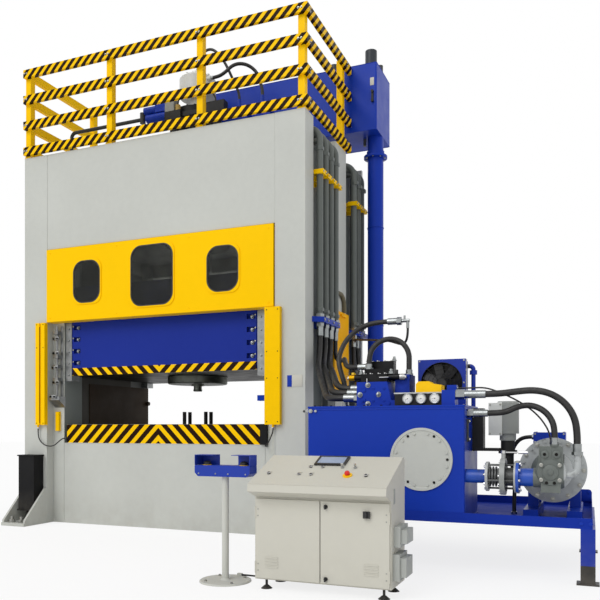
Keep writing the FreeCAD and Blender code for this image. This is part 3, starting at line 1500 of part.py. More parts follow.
def main_pump():
    """The bell housing and the piston pump in front of it, cast in grey iron."""
    place = ("shaft_x", "bell_face", "shaft_level")
    bell = turned(bell_housing_profile(), place, "y")
    front = turned([("0", "-pump_length"), ("pump_nose - 20", "-pump_length"),
                    ("pump_nose", "-pump_length + 20"), ("pump_nose", "-pump_length * 0.6"),
                    ("pump_radius", "-pump_length * 0.45"), ("pump_radius", "0"),
                    ("160", "0"), ("160", "24"), ("0", "24")], place, "y")
    far = "(bell_face - pump_length)"
    block = box(("shaft_x - 90", f"{far} + 12", "shaft_level + 60"), ("180", "150", "150"))
    port = rod(("shaft_x + 30", f"{far} + 30", "shaft_level + 210"), "z", "34", "16")
    lead = rod(("shaft_x - 5", "bell_face - 165", "shaft_level + 146"), "z", "20", "30")
    inlet = rod(("shaft_x - pump_inlet", "suction_y", "suction_level"), "x", "suction_radius + 22", "60")
    foot_block = box(("shaft_x - 75", f"{far} + 10", "shaft_level - 165"), ("150", "140", "110"))
    corners = [rod((f"shaft_x + {dx}", far, f"shaft_level + {dz}"), "-y", "14", "12")
               for dx, dz in ((-70, -60), (70, -60), (-70, 60), (70, 60))]
    ring = [rod((f"shaft_x + ({dx})", "bell_face", f"shaft_level + ({dz})"), "-y", "12", "14")
            for dx, dz in ring_places("12", "bell_flange - 28")]
    return joined([bell, front, block, port, lead, inlet, foot_block, *corners, *ring])


def pump_outlet():
    """The bent outlet pipe at the pump's right side."""
    level = "(shaft_level - 20)"
    x = "(shaft_x + pump_radius + 35)"
    y = "(bell_face - 300)"
    return pipe([(x, y, "1025"), (x, y, level), ("shaft_x + 80", y, level)], "60", "26")


def drive_motor():
    """The electric motor: a finned barrel with a fan cowl, feet and a terminal box."""
    start = "(bell_face + bell_length)"
    fins = int(value("motor_fins"))
    barrel = turned([("0", "0"), ("motor_radius", "0"), ("motor_radius", "40"),
                     ("motor_radius - fin_height", "40"),
                     ("motor_radius - fin_height", "motor_length - 130"),
                     ("motor_radius", "motor_length - 130"),
                     ("motor_radius", "motor_length - 15"), ("motor_radius - 20", "motor_length"),
                     ("0", "motor_length")], ("shaft_x", start, "shaft_level"), "y")
    ribs = []
    for i in range(fins):
        angle = 360 * (i + 0.5) / fins
        rib = doc.addObject("Part::Box", "Fin")
        tie(rib, Length="fin_height + 6", Width="motor_length - 170", Height="7")
        rib.Placement = Placement(Vector(), Rotation(Vector(0, 1, 0), angle))
        reach = "(motor_radius - fin_height - 6)"
        rib.setExpression("Placement.Base.x", bound(f"shaft_x + {reach} * cos({angle})"))
        rib.setExpression("Placement.Base.y", bound(f"{start} + 40"))
        rib.setExpression("Placement.Base.z", bound(f"shaft_level - {reach} * sin({angle})"))
        ribs.append(rib)
    feet = [
        box((f"shaft_x {sign} 175 - 45", f"{start} + {y}", TRAY_FLOOR),
            ("90", "motor_foot", f"shaft_level - 175 - {TRAY_FLOOR}"))
        for sign in "-+" for y in (60, 420)
    ]
    rails = [box((f"shaft_x {sign} 175 - 60", f"bell_face - 60", TRAY_FLOOR),
                 ("120", "bell_length + motor_length + 40", "90")) for sign in "-+"]
    terminal = box(("shaft_x - 175", f"{start} + 60", "shaft_level + motor_radius - 12"),
                   ("270", "240", "105"))
    return joined([barrel, *ribs, *feet, *rails, terminal])


def drive_coupling():
    """The jaw coupling between the motor's shaft and the pump's."""
    place = ("shaft_x", "bell_face + 24 + running_gap", "shaft_level")
    long = "(bell_length - 24 - 2 * running_gap)"
    return turned([("0", "0"), ("30", "0"), ("30", "30"), ("85", "30"),
                   ("85", f"{long} - 30"), ("34", f"{long} - 30"), ("34", long), ("0", long)],
                  place, "y")


# ---- console -------------------------------------------------------------------------------

CONSOLE_BACK = "(console_front + console_depth)"
NOSE = "(console_front - nose_reach)"


def console_cabinet():
    """A sheet cabinet with a sloping desk over a nose, open behind its doors."""
    side_view = [
        (CONSOLE_BACK, "console_base"), (CONSOLE_BACK, "console_top - 18"),
        (f"{CONSOLE_BACK} - 45", "console_top"), (NOSE, "nose_high"), (f"{NOSE} - 6", "nose_low"),
        ("console_front", "door_top + 15"), ("console_front", "console_base"),
    ]
    shell = slab("YZ", [side_view], "console_left", "console_width")
    inside = rectangle("console_left + console_wall", "console_base + console_wall",
                       "console_width - 2 * console_wall", "door_top - console_base - 2 * console_wall")
    shell = hollow(shell, "XZ", [inside], "console_front", "console_depth - console_wall")
    vents = [
        box(("console_left + console_width", f"console_front + 60 + {i} * 26", "console_top - 330"),
            ("3", "14", "110"))
        for i in range(2)
    ]
    plugs = []
    for y, z, size in ((60, 300, 150), (40, 60, 190)):
        plugs.append(box(("console_left + console_width", f"console_front + {y}",
                          f"console_base + {z}"), ("50", "230", f"{size}")))
        plugs.append(box(("console_left + console_width + 50", f"console_front + {y} + 20",
                          f"console_base + {z} + 25"), ("45", "190", f"{size - 50}")))
    legs = []
    for x in ("console_left + 70", "console_left + console_width - 70"):
        for y in ("console_front + 60", f"{CONSOLE_BACK} - 60"):
            legs.append(rod((x, y, "25"), "z", "10", "console_base - 25"))
            legs.append(taper((x, y, "0"), "z", "45", "16", "25"))
    return joined([shell, *vents, *plugs, *legs])


def desk_spot(x, back):
    """A point on the sloping desk, back millimetres behind the nose, and the desk's tilt."""
    slope = f"((console_top - nose_high) / (console_depth - 45 + nose_reach))"
    return (x, f"{NOSE} + {back}", f"nose_high + {back} * {slope}")


def desk_tilt():
    rise = value("(console_top - nose_high) / (console_depth - 45 + nose_reach)")
    return Rotation(Vector(1, 0, 0), math.degrees(math.atan(rise)))


def console_controls():
    """Keys, lamps and the screen set in the desk."""
    tilt = desk_tilt()
    controls = []
    for x, back, radius, high in (
        (103, 165, 13, 12), (353, 165, 11, 9), (451, 165, 11, 9), (882, 165, 13, 12),
        (402, 285, 11, 9), (500, 285, 11, 9),
    ):
        item = tie(doc.addObject("Part::Cylinder", "Key"), Radius=str(radius), Height=str(high))
        controls.append(set_down(item, desk_spot(f"console_left + {x}", back), tilt))
    for x in (660, 762):
        ring = tie(doc.addObject("Part::Cylinder", "Lock"), Radius="13", Height="10")
        controls.append(set_down(ring, desk_spot(f"console_left + {x}", 285), tilt))
        key = tie(doc.addObject("Part::Box", "Blade"), Length="4", Width="16", Height="34")
        controls.append(set_down(key, desk_spot(f"console_left + {x} - 2", 278), tilt))
    screen = tie(doc.addObject("Part::Box", "Screen"), Length="250", Width="150", Height="14")
    controls.append(set_down(screen, desk_spot("console_left + 420", 315), tilt))
    return group([joined(controls[6:8]), joined(controls[8:10]), *controls[:6], controls[10]])


def emergency_button():
    """The mushroom button on the desk, clear of its collar by its travel."""
    x, y, z = desk_spot("console_left + 740", 165)
    low = "(stop_collar + stop_travel + stop_clear)"
    foot = "(stop_travel + stop_clear)"
    button = turned([("0", foot), ("stop_stem", foot), ("stop_stem", low), ("stop_radius", low),
                     ("stop_radius", f"{low} + 12"), ("14", f"{low} + 22"), ("0", f"{low} + 24")],
                    (x, y, z))
    return set_down(button, (x, y, z), desk_tilt())


def stop_collar():
    """The yellow ring that the mushroom button's stem runs in."""
    ring = slab("XY", [("0", "0", "stop_radius + 16"), ("0", "0", "stop_stem + running_gap")],
                "0", "stop_collar")
    return set_down(ring, desk_spot("console_left + 740", 165), desk_tilt())


def console_door(side):
    """A sheet door over the cabinet's front, hinged at its outer edge."""
    wide = "(console_width / 2 - console_wall / 2 - door_gap)"
    x = "console_left + console_wall / 2" if side < 0 else "console_left + console_width / 2 + door_gap"
    door = slab("XZ", [rectangle(x, "console_base + 12", wide, "door_top - console_base - 12")],
                f"console_front - door_sheet - running_gap", "door_sheet")
    door = rounded(door, "4", along("z"))
    vent_x = f"{x} + 80" if side < 0 else f"{x} + {wide} - 190"
    ribs = [box((f"{vent_x}", "console_front - door_sheet - running_gap - 5",
                 f"console_base + 95 + {i} * 24"), ("110", "6", "9")) for i in range(4)]
    edge = "console_left + console_wall / 2" if side < 0 else "console_left + console_width - console_wall / 2"
    hinges = [rod((edge, "console_front - door_sheet - running_gap", level), "z", "door_barrel", "90")
              for level in ("console_base + 50", "door_top - 150")]
    return joined([door, *ribs, *hinges])


def door_latch(level):
    """A wing latch in the right door."""
    x = "(console_left + console_width / 2 + 47)"
    front = "(console_front - door_sheet - 2 * running_gap)"
    return joined([
        rod((x, front, level), "-y", "latch_radius", "10"),
        box((f"{x} - 5", f"{front} - 30", f"{level} - 17"), ("10", "21", "34")),
    ])


def main_switch():
    """The square main switch in the right door."""
    x = "(console_left + console_width - 175)"
    front = "(console_front - door_sheet - 2 * running_gap)"
    return joined([
        rod((x, front, "door_top - 84"), "-y", "24", "10"),
        box((f"{x} - 25", f"{front} - 26", "door_top - 109"), ("50", "16.5", "50")),
        box((f"{x} - 7", f"{front} - 40", "door_top - 105"), ("14", "15", "42")),
    ])


# ---- two-hand stand ------------------------------------------------------------------------

def stand_post():
    """A round base plate with the post that carries the two-hand control."""
    post = turned([("0", "0"), ("stand_base", "0"), ("stand_base", "stand_plate - 6"),
                   ("stand_base - 8", "stand_plate"), ("stand_post + 14", "stand_plate"),
                   ("stand_post", "stand_plate + 12"), ("stand_post", "stand_head"),
                   ("0", "stand_head")], ("stand_x", "stand_y", "0"))
    outlet = box(("stand_x + 20", "stand_y + 163", "stand_plate - 4"), ("40", "28", "24"))
    return joined([post, outlet])


def palm_places():
    return [f"(stand_x + {side} * (head_width / 2 - hood_width / 2))" for side in (-1, 1)]


def stand_head():
    """The beam, bored for the palm buttons' stems, with a hood over each button."""
    left = "(stand_x - head_width / 2)"
    near = "(stand_y - head_depth / 2)"
    top = "(stand_head + beam_height)"
    side_view = [(f"{left} + 30", "stand_head"), (f"{left} + head_width - 30", "stand_head"),
                 (f"{left} + head_width", "stand_head + 30"), (f"{left} + head_width", top),
                 (left, top), (left, "stand_head + 30")]
    beam = rounded(slab("XZ", [side_view], near, "head_depth"), "8", along("y"))
    bores = [rod((x, "stand_y", f"{top} - palm_bore"), "z", "palm_stem + running_gap", "palm_bore + 1")
             for x in palm_places()]
    hoods = []
    for x, out_x in ((left, left), (f"{left} + head_width - hood_width",
                                    f"{left} + head_width - hood_sheet")):
        hoods.append(box((x, near, f"{top} + hood_height - beam_height - hood_sheet"),
                         ("hood_width", "head_depth", "hood_sheet")))
        hoods.append(box((out_x, near, top),
                         ("hood_sheet", "head_depth", "hood_height - beam_height")))
        hoods.append(box((x, f"{near} + head_depth - hood_sheet", top),
                         ("hood_width", "hood_sheet", "hood_height - beam_height")))
    return joined([cut(beam, bores), *hoods])


def palm_button(x):
    """A domed palm button under its hood, its stem in the beam's bore."""
    base = "(stand_head + beam_height + palm_travel + 1)"
    foot = "(-palm_travel - 10)"
    return turned([("0", foot), ("palm_stem", foot), ("palm_stem", "0"),
                   ("palm_radius", "0"), ("palm_radius", "palm_height * 0.5"),
                   ("palm_radius * 0.6", "palm_height - 4"), ("0", "palm_height")],
                  (x, "stand_y", base))


# ---- the whole machine ---------------------------------------------------------------------

node("upright_left", upright(-1))
node("upright_right", upright(1))
node("bed", bed())
node("crown", crown())
node("foot_brackets", four_corners(foot()))
node("anchor_bolts", four_corners(anchors()))
node("dark_covers", group([foot_post(), side_panel(), table_stop(), cable_duct()]))
node("table", table())
node("cushion_pins", cushion_pins())
node("cushion_plate", cushion_plate())
node("cushion_cylinder", cushion_cylinder())
node("slide", slide())
node("guide_rails", guide_rails())
node("main_cylinder", main_cylinder())
node("cylinder_head", cylinder_head())
node("piston_rod", piston_rod())
node("punch_adapter", punch_adapter())
node("guard_panel", guard_panel())
node("window_panes", window_panes())
node("light_curtains", light_curtains())
node("railing_posts", railing_posts())
node("railing_rails", railing_rails())
node("top_tank", top_tank())
node("tank_fittings", tank_fittings())
node("overflow_pipe", overflow_pipe())
node("deck_valves", deck_valves())
node("riser_pipes", riser_pipes())
node("pipe_clamps", pipe_clamps())
node("bulkhead_brackets", bulkhead_brackets())
node("hydraulic_hoses", hydraulic_hoses())
node("control_cables", control_cables())
node("hose_fittings", hose_fittings())
node("drip_tray", drip_tray())
node("unit_legs", unit_legs())
node("oil_tank", oil_tank())
node("manhole_cover", manhole_cover())
node("valve_manifold", valve_manifold())
node("valve_stack", valve_stack())
node("gauge_panel", gauge_panel())
node("cooler_housing", group([cooler_housing(), cooler_pipe()]))
node("cooler_fan", cooler_fan())
node("circulation_pump", circulation_pump())
node("suction_line", suction_line())
node("butterfly_handle", butterfly_handle())
node("main_pump", joined([main_pump(), pump_outlet()]))
node("drive_motor", drive_motor())
node("drive_coupling", drive_coupling())
node("console_cabinet", console_cabinet())
node("console_controls", group([console_controls(), stop_collar()]))
node("emergency_button", emergency_button())
node("console_door_left", console_door(-1))
node("console_door_right", console_door(1))
node("door_latch_upper", door_latch("(door_top - 40)"))
node("door_latch_lower", door_latch("(console_base + 45)"))
node("main_switch", main_switch())
node("stand_post", stand_post())
node("stand_head", stand_head())
node("palm_button_left", palm_button(palm_places()[0]))
node("palm_button_right", palm_button(palm_places()[1]))

doc.recompute()
for item in doc.Objects:
    if "Invalid" in item.State or "Error" in item.State:
        raise ValueError(f"{item.Name} ({item.Label}) failed")
for item in nodes:
    if item.Shape.isNull() or not item.Shape.isValid():
        raise ValueError(f"{item.Label} has no valid shape")
os.makedirs("parts", exist_ok=True)
for item in nodes:
    item.Shape.exportStep(f"parts/{item.Label}.step")
print(len(nodes), "sub-parts written")
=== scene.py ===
# %% [markdown]
# # A hydraulic press with its power unit, console and two-hand stand
# The solids of every part come from the CAD model, which is imported as a fixed frame.
# Here each of them gets a finish, and the small things that catch the eye are modelled:
# screws, weld beads, gaskets, dial faces, fan wires and the hoses in their hung shape.

# %% Load the frame
import json
import math

import bmesh
import bpy
from mathutils import Matrix, Vector


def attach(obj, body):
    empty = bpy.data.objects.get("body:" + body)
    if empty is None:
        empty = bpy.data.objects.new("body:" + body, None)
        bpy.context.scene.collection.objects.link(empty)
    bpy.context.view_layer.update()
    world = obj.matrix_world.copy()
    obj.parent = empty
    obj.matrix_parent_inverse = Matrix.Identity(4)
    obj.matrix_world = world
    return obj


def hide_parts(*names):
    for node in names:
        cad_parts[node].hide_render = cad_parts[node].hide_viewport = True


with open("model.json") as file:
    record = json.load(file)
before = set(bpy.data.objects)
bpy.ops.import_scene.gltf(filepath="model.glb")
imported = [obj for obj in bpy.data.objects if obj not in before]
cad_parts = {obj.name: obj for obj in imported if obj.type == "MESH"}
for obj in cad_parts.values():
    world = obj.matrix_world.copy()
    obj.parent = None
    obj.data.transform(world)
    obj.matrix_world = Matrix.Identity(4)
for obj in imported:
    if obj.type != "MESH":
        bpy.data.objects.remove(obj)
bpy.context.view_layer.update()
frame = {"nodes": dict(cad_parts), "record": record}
nodes = frame["nodes"]

# %% [markdown]
# ## The camera
# The picture was taken from the right of the press, level and at chest height, with the
# frame shifted upwards so that the tall uprights stay parallel. A level camera with a
# vertical shift repeats that without tilting.

# %% Camera
def show(name, data):
    """Puts data into the scene as an object at the origin."""
    shown = bpy.data.objects.new(name, data)
    bpy.context.scene.collection.objects.link(shown)
    return shown


lens = bpy.data.cameras.new("photo_lens")
lens.sensor_width = 36
lens.lens = 42.46
lens.shift_y = 0.2117
lens.clip_end = 200
camera = show("camera", lens)
camera.location = (4.924, -8.36, 1.25)
camera.rotation_euler = (math.radians(90), 0, math.radians(22.28))
bpy.context.scene.camera = camera
bpy.context.scene.view_settings.view_transform = "Standard"
print("camera at", tuple(camera.location))

# %% [markdown]
# ## Hoses and cables
# A pressure hose is a fixed length of stiff rubber tube: it leaves its fitting straight,
# sags or arches, and enters the next one straight. Each is one smooth curve with a round
# section, drawn through a few given points. The order of three keeps the curve
# near its points, so the bends are even and there is no kink.

# %% The routes, in metres, with each hose's diameter and length
hose_routes = {
    "press_hose_first": (0.062, 1.893, [
        (2.05, -0.74, 2.3), (2.05, -0.74, 2.19), (2.058, -0.79, 2.06), (2.088, -0.89, 1.955),
        (2.156, -1.05, 1.858), (2.252, -1.245, 1.775), (2.354, -1.462, 1.69), (2.45, -1.67, 1.618),
        (2.529, -1.842, 1.568), (2.594, -1.98, 1.536), (2.655, -2.033, 1.524), (2.722, -2.06, 1.52),
        (2.792, -2.06, 1.52)]),
    "press_hose_second": (0.062, 1.912, [
        (2.05, -0.56, 2.3), (2.05, -0.56, 2.197), (2.058, -0.613, 2.075), (2.09, -0.718, 1.983),
        (2.16, -0.886, 1.901), (2.258, -1.092, 1.833), (2.362, -1.32, 1.758), (2.458, -1.539, 1.691),
        (2.536, -1.72, 1.642), (2.6, -1.866, 1.602), (2.655, -1.922, 1.581), (2.722, -1.95, 1.57),
        (2.792, -1.95, 1.57)]),
    "press_hose_third": (0.062, 1.938, [
        (2.05, -0.38, 2.3), (2.05, -0.38, 2.204), (2.058, -0.435, 2.091), (2.091, -0.546, 2.013),
        (2.162, -0.723, 1.948), (2.261, -0.939, 1.896), (2.366, -1.179, 1.833), (2.462, -1.409, 1.776),
        (2.536, -1.59, 1.728), (2.597, -1.738, 1.686), (2.652, -1.808, 1.645), (2.722, -1.84, 1.62),
        (2.792, -1.84, 1.62)]),
    "press_hose_fourth": (0.05, 2.055, [
        (2.05, -0.2, 2.3), (2.05, -0.2, 2.215), (2.066, -0.25, 2.122), (2.13, -0.372, 2.055),
        (2.228, -0.56, 2.022), (2.33, -0.765, 2.004), (2.42, -0.965, 1.991), (2.49, -1.16, 1.977),
        (2.552, -1.345, 1.957), (2.618, -1.525, 1.927), (2.68, -1.69, 1.885), (2.72, -1.789, 1.85),
        (2.761, -1.826, 1.832), (2.808, -1.844, 1.825), (2.862, -1.844, 1.825)]),
    "bleed_hose": (0.05, 1.143, [
        (2.69, -1.714, 1.5), (2.69, -1.714, 1.58), (2.676, -1.716, 1.688), (2.637, -1.712, 1.797),
        (2.604, -1.692, 1.905), (2.612, -1.64, 2.015), (2.65, -1.59, 2.12), (2.724, -1.545, 2.21),
        (2.832, -1.515, 2.275), (2.96, -1.5, 2.3), (3.06, -1.5, 2.3)]),
    "gauge_hose": (0.024, 2.424, [
        (3.262, -1.5, 2.225), (3.262, -1.5, 2.131), (3.208, -1.446, 2.068), (3.082, -1.293, 2.113),
        (2.986, -1.152, 2.151), (2.888, -1.021, 2.172), (2.813, -0.901, 2.193), (2.744, -0.779, 2.212),
        (2.673, -0.658, 2.231), (2.608, -0.539, 2.248), (2.54, -0.41, 2.266), (2.473, -0.282, 2.284),
        (2.413, -0.169, 2.299), (2.342, -0.041, 2.317), (2.267, 0.094, 2.336), (2.18, 0.236, 2.364),
        (2.09, 0.353, 2.373), (2.09, 0.453, 2.373)]),
    "loop_hose": (0.05, 0.742, [
        (3.005, -1.96, 1.841), (3.005, -1.96, 1.917), (3.036, -1.948, 1.997), (3.101, -1.926, 2.057),
        (3.185, -1.905, 2.079), (3.27, -1.889, 2.061), (3.337, -1.898, 2.006), (3.373, -1.902, 1.928),
        (3.372, -1.902, 1.84), (3.372, -1.902, 1.781)]),
    "return_hose_left": (0.056, 2.695, [
        (2.05, 0.52, 2.3), (2.05, 0.52, 2.136), (2.088, 0.43, 1.954), (2.164, 0.257, 1.859),
        (2.241, 0.068, 1.788), (2.335, -0.123, 1.748), (2.434, -0.31, 1.705), (2.536, -0.497, 1.667),
        (2.643, -0.682, 1.636), (2.75, -0.868, 1.603), (2.858, -1.055, 1.58), (2.948, -1.252, 1.564),
        (2.99, -1.465, 1.56), (2.99, -1.64, 1.56)]),
    "return_hose_right": (0.056, 2.919, [
        (2.05, 0.69, 2.3), (2.05, 0.69, 2.111), (2.14, 0.608, 1.918), (2.258, 0.423, 1.835),
        (2.311, 0.194, 1.832), (2.421, -0.01, 1.789), (2.537, -0.208, 1.744), (2.655, -0.405, 1.704),
        (2.774, -0.602, 1.673), (2.888, -0.803, 1.643), (2.991, -1.01, 1.624), (3.08, -1.224, 1.606),
        (3.12, -1.452, 1.6), (3.12, -1.64, 1.6)]),
    "pump_pressure_hose": (0.056, 1.006, [
        (4.112, -2.25, 1.528), (4.217, -2.25, 1.528), (4.36, -2.25, 1.545), (4.489, -2.254, 1.555),
        (4.613, -2.258, 1.532), (4.721, -2.263, 1.465), (4.799, -2.267, 1.359), (4.83, -2.27, 1.231),
        (4.83, -2.27, 1.115)]),
    "pump_control_hose": (0.05, 0.729, [
        (4.122, -2.2, 1.368), (4.186, -2.2, 1.368), (4.274, -2.204, 1.377), (4.349, -2.206, 1.414),
        (4.433, -2.229, 1.433), (4.514, -2.254, 1.42), (4.584, -2.276, 1.379), (4.633, -2.291, 1.319),
        (4.66, -2.3, 1.244), (4.66, -2.3, 1.164)]),
    "filling_hose": (0.044, 0.985, [
        (0.295, -0.1, 5.89), (0.385, -0.1, 5.89), (0.485, -0.103, 5.931), (0.563, -0.079, 6.007),
        (0.64, -0.033, 6.044), (0.721, 0.019, 6.041), (0.795, 0.065, 6), (0.854, 0.094, 5.926),
        (0.882, 0.107, 5.829), (0.913, 0.12, 5.721), (0.913, 0.12, 5.64)]),
    "vent_hose": (0.036, 1.176, [
        (0, 0, 6.1), (0, 0, 6.189), (0.052, -0.005, 6.28), (0.145, -0.022, 6.326),
        (0.247, -0.038, 6.309), (0.325, -0.031, 6.243), (0.385, -0.014, 6.165), (0.433, 0.005, 6.078),
        (0.473, 0.023, 5.989), (0.507, 0.048, 5.899), (0.541, 0.084, 5.813), (0.57, 0.12, 5.717),
        (0.57, 0.12, 5.64)]),
    "deck_hose": (0.024, 0.755, [
        (-0.069, -0.39, 5.464), (-0.069, -0.39, 5.529), (-0.029, -0.367, 5.592),
        (0.047, -0.353, 5.613), (0.126, -0.365, 5.609), (0.204, -0.383, 5.6), (0.283, -0.391, 5.591),
        (0.361, -0.387, 5.576), (0.435, -0.373, 5.548), (0.48, -0.365, 5.483), (0.48, -0.365, 5.42)]),
    "left_curtain_cable": (0.014, 0.627, [
        (-1.75, -1.1, 1.247), (-1.75, -1.1, 1.174), (-1.733, -1.101, 1.09), (-1.671, -1.099, 1.03),
        (-1.591, -1.094, 1), (-1.505, -1.084, 1.005), (-1.431, -1.085, 1.057), (-1.412, -1.025, 1.105),
        (-1.412, -0.97, 1.105)]),
    "right_curtain_cable": (0.014, 0.348, [
        (1.622, -1.1, 1.247), (1.622, -1.1, 1.203), (1.601, -1.099, 1.154), (1.577, -1.093, 1.106),
        (1.546, -1.078, 1.066), (1.506, -1.056, 1.037), (1.48, -1.01, 1.03), (1.48, -0.97, 1.03)]),
    "valve_cable": (0.014, 1.005, [
        (3.872, -2.19, 1.585), (3.97, -2.19, 1.585), (4.105, -2.185, 1.588), (4.233, -2.18, 1.537),
        (4.349, -2.174, 1.48), (4.459, -2.162, 1.408), (4.554, -2.148, 1.314), (4.625, -2.135, 1.184),
        (4.625, -2.135, 1.09)]),
    "motor_cable": (0.036, 0.793, [
        (4.435, -1.6, 1.16), (4.372, -1.6, 1.16), (4.308, -1.6, 1.122), (4.262, -1.6, 1.04),
        (4.258, -1.6, 0.93), (4.276, -1.598, 0.8), (4.286, -1.602, 0.69), (4.28, -1.6, 0.58),
        (4.28, -1.6, 0.475)]),
    "stand_cable": (0.014, 0.636, [
        (2.247, -3.098, 0.022), (2.298, -3.098, 0.022), (2.35, -3.07, 0.014), (2.401, -3.039, 0.009),
        (2.453, -3.007, 0.007), (2.507, -2.977, 0.007), (2.565, -2.953, 0.01), (2.62, -2.922, 0.007),
        (2.672, -2.906, 0.04), (2.706, -2.927, 0.084), (2.72, -2.973, 0.11), (2.72, -3.02, 0.11)]),
}


# %% Draw one hose along its route
def hung_hose(name, points, diameter):
    line = bpy.data.curves.new(name, "CURVE")
    line.dimensions = "3D"
    line.bevel_depth = diameter / 2
    line.bevel_resolution = 5
    line.resolution_u = 10
    line.use_fill_caps = True
    spline = line.splines.new("NURBS")
    spline.points.add(len(points) - 1)
    for control, place in zip(spline.points, points):
        control.co = (*place, 1)
    spline.order_u = 3
    spline.use_endpoint_u = True
    return show(name, line)


hoses = {}
for name, (diameter, length, points) in hose_routes.items():
    hoses[name] = hung_hose(name, points, diameter)
    is_cable = name.endswith("cable")
    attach(hoses[name], "press")
    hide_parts("control_cables" if is_cable else "hydraulic_hoses")
print(len(hoses), "hoses and cables")

# %% [markdown]
# ## Floor and light
# The machine stands in a plain white studio. The floor is a wide white sheet that keeps
# the soft contact shadows. The sky is white where the camera, glossy and glass rays see
# it, and a little dimmer for lighting, so that a paint renders about as it is mixed. One
# broad sun from the front left gives the faces their slight difference in tone.

# %% Floor
floor_mesh = bmesh.new()
bmesh.ops.create_grid(floor_mesh, x_segments=1, y_segments=1, size=40)
bmesh.ops.translate(floor_mesh, verts=floor_mesh.verts, vec=(0, 10, -0.001))
floor_data = bpy.data.meshes.new("studio_floor")
floor_mesh.to_mesh(floor_data)
floor_mesh.free()
show("studio_floor", floor_data)
print("floor laid")


# %% A helper that adds one shader node
def add(material, kind, inputs=None, **settings):
    node = material.node_tree.nodes.new("ShaderNode" + kind)
    for key, value in settings.items():
        setattr(node, key, value)
    for key, value in (inputs or {}).items():
        if isinstance(value, bpy.types.NodeSocket):
            material.node_tree.links.new(value, node.inputs[key])
        else:
            socket = node.inputs[key]
            socket.default_value = value[:3] if socket.type == "VECTOR" else value
    return node


def maths(material, operation, first, second=0.0):
    return add(material, "Math", {0: first, 1: second}, operation=operation).outputs[0]


# %% World, sun and floor paint
world = bpy.data.worlds.new("studio")
bpy.context.scene.world = world
world.use_nodes = True
world.node_tree.nodes.clear()
rays = add(world, "LightPath").outputs
seen = maths(world, "MAXIMUM", rays["Is Camera Ray"], rays["Is Glossy Ray"])
seen = maths(world, "MAXIMUM", seen, rays["Is Transmission Ray"])
dim = add(world, "Background", {"Color": (1.0, 1.0, 1.0, 1), "Strength": 0.70}).outputs[0]
white = add(world, "Background", {"Color": (1, 1, 1, 1), "Strength": 1.0}).outputs[0]
sky = add(world, "MixShader", {0: seen, 1: dim, 2: white}).outputs[0]
add(world, "OutputWorld", {"Surface": sky})

sun_data = bpy.data.lights.new("window_light", "SUN")
sun_data.energy = 1.15
sun_data.angle = math.radians(35)
sun = show("window_light", sun_data)
sun.rotation_euler = (math.radians(52), 0, math.radians(-18))

floor_paint = bpy.data.materials.new("floor_paint")
floor_paint.use_nodes = True
floor_paint.node_tree.nodes.clear()
sheet_white = (0.93, 0.93, 0.93, 1)
bounced = add(floor_paint, "BsdfPrincipled", {"Base Color": sheet_white, "Roughness": 0.9}).outputs[0]
glow = add(floor_paint, "Emission", {"Color": (1, 1, 1, 1), "Strength": 1.0}).outputs[0]
to_eye = maths(floor_paint, "MULTIPLY", add(floor_paint, "LightPath").outputs["Is Camera Ray"], 0.8)
shown = add(floor_paint, "MixShader", {0: to_eye, 1: bounced, 2: glow}).outputs[0]
add(floor_paint, "OutputMaterial", {"Surface": shown})
floor_data.materials.append(floor_paint)
print("studio lit")

# %% [markdown]
# ## How the finishes are made
# Real paint is never one flat colour. A sprayed coat drifts slightly in tone from place
# to place, has a fine orange-peel skin, gathers dust low down and gets rubbed at edges.
# Each finish is one Principled shader: noise on the object's own coordinates moves its
# colour and roughness a little, and a fine noise feeds the bump.

# %% Colours in steps of 0 to 255
def tone(red, green, blue):
    def linear(value):
        value /= 255
        return value / 12.92 if value <= 0.04045 else ((value + 0.055) / 1.055) ** 2.4
    return (linear(red), linear(green), linear(blue), 1.0)


grey_paint = tone(193, 195, 189)
blue_paint = tone(22, 56, 166)
yellow_paint = tone(253, 201, 2)
# The slide's blue is the machine blue made darker: painted shade on the slide.
shaded_slide_blue = tone(29, 48, 141)
stripe_black = tone(36, 20, 12)
cream_paint = tone(199, 197, 186)
black_paint = tone(30, 30, 31)
cast_paint = tone(174, 178, 178)
print("grey paint is", [round(v, 3) for v in grey_paint])


# %% Noise, blending, relief and masks
def spread(material, value, start, end, low=0.0, high=1.0):
    """A value stretched from start and end to low and high."""
    return add(material, "MapRange", {"Value": value, "From Min": start, "From Max": end,
                                      "To Min": low, "To Max": high}).outputs["Result"]


def noise(material, place, scale, low, high, detail=3.0):
    rough = add(material, "TexNoise", {"Vector": place, "Scale": scale, "Detail": detail}).outputs["Fac"]
    return spread(material, rough, 0.3, 0.7, low, high)


def shaded(material, colour, amount):
    return add(material, "VectorMath", {0: colour, "Scale": amount}, operation="SCALE").outputs[0]


def relief(material, height, strength, depth):
    return add(material, "Bump", {"Height": height, "Strength": strength, "Distance": depth}).outputs[0]


def blend(material, amount, first, second):
    return add(material, "Mix", {0: amount, 6: first, 7: second}, data_type="RGBA").outputs[2]


def blend_value(material, amount, first, second):
    return add(material, "Mix", {0: amount, 2: first, 3: second}, data_type="FLOAT").outputs[0]


def inside(material, place, low, high):
    """1 within a box, 0 outside it."""
    middle = [(a + b) / 2 for a, b in zip(low, high)]
    half = [(b - a) / 2 for a, b in zip(low, high)]
    away = add(material, "VectorMath", {0: place, 1: middle}, operation="SUBTRACT").outputs[0]
    away = add(material, "VectorMath", {0: away}, operation="ABSOLUTE").outputs[0]
    away = add(material, "VectorMath", {0: away, 1: half}, operation="SUBTRACT").outputs[0]
    x, y, z = add(material, "SeparateXYZ", {0: away}).outputs
    furthest = maths(material, "MAXIMUM", maths(material, "MAXIMUM", x, y), z)
    return maths(material, "LESS_THAN", furthest, 0.0)


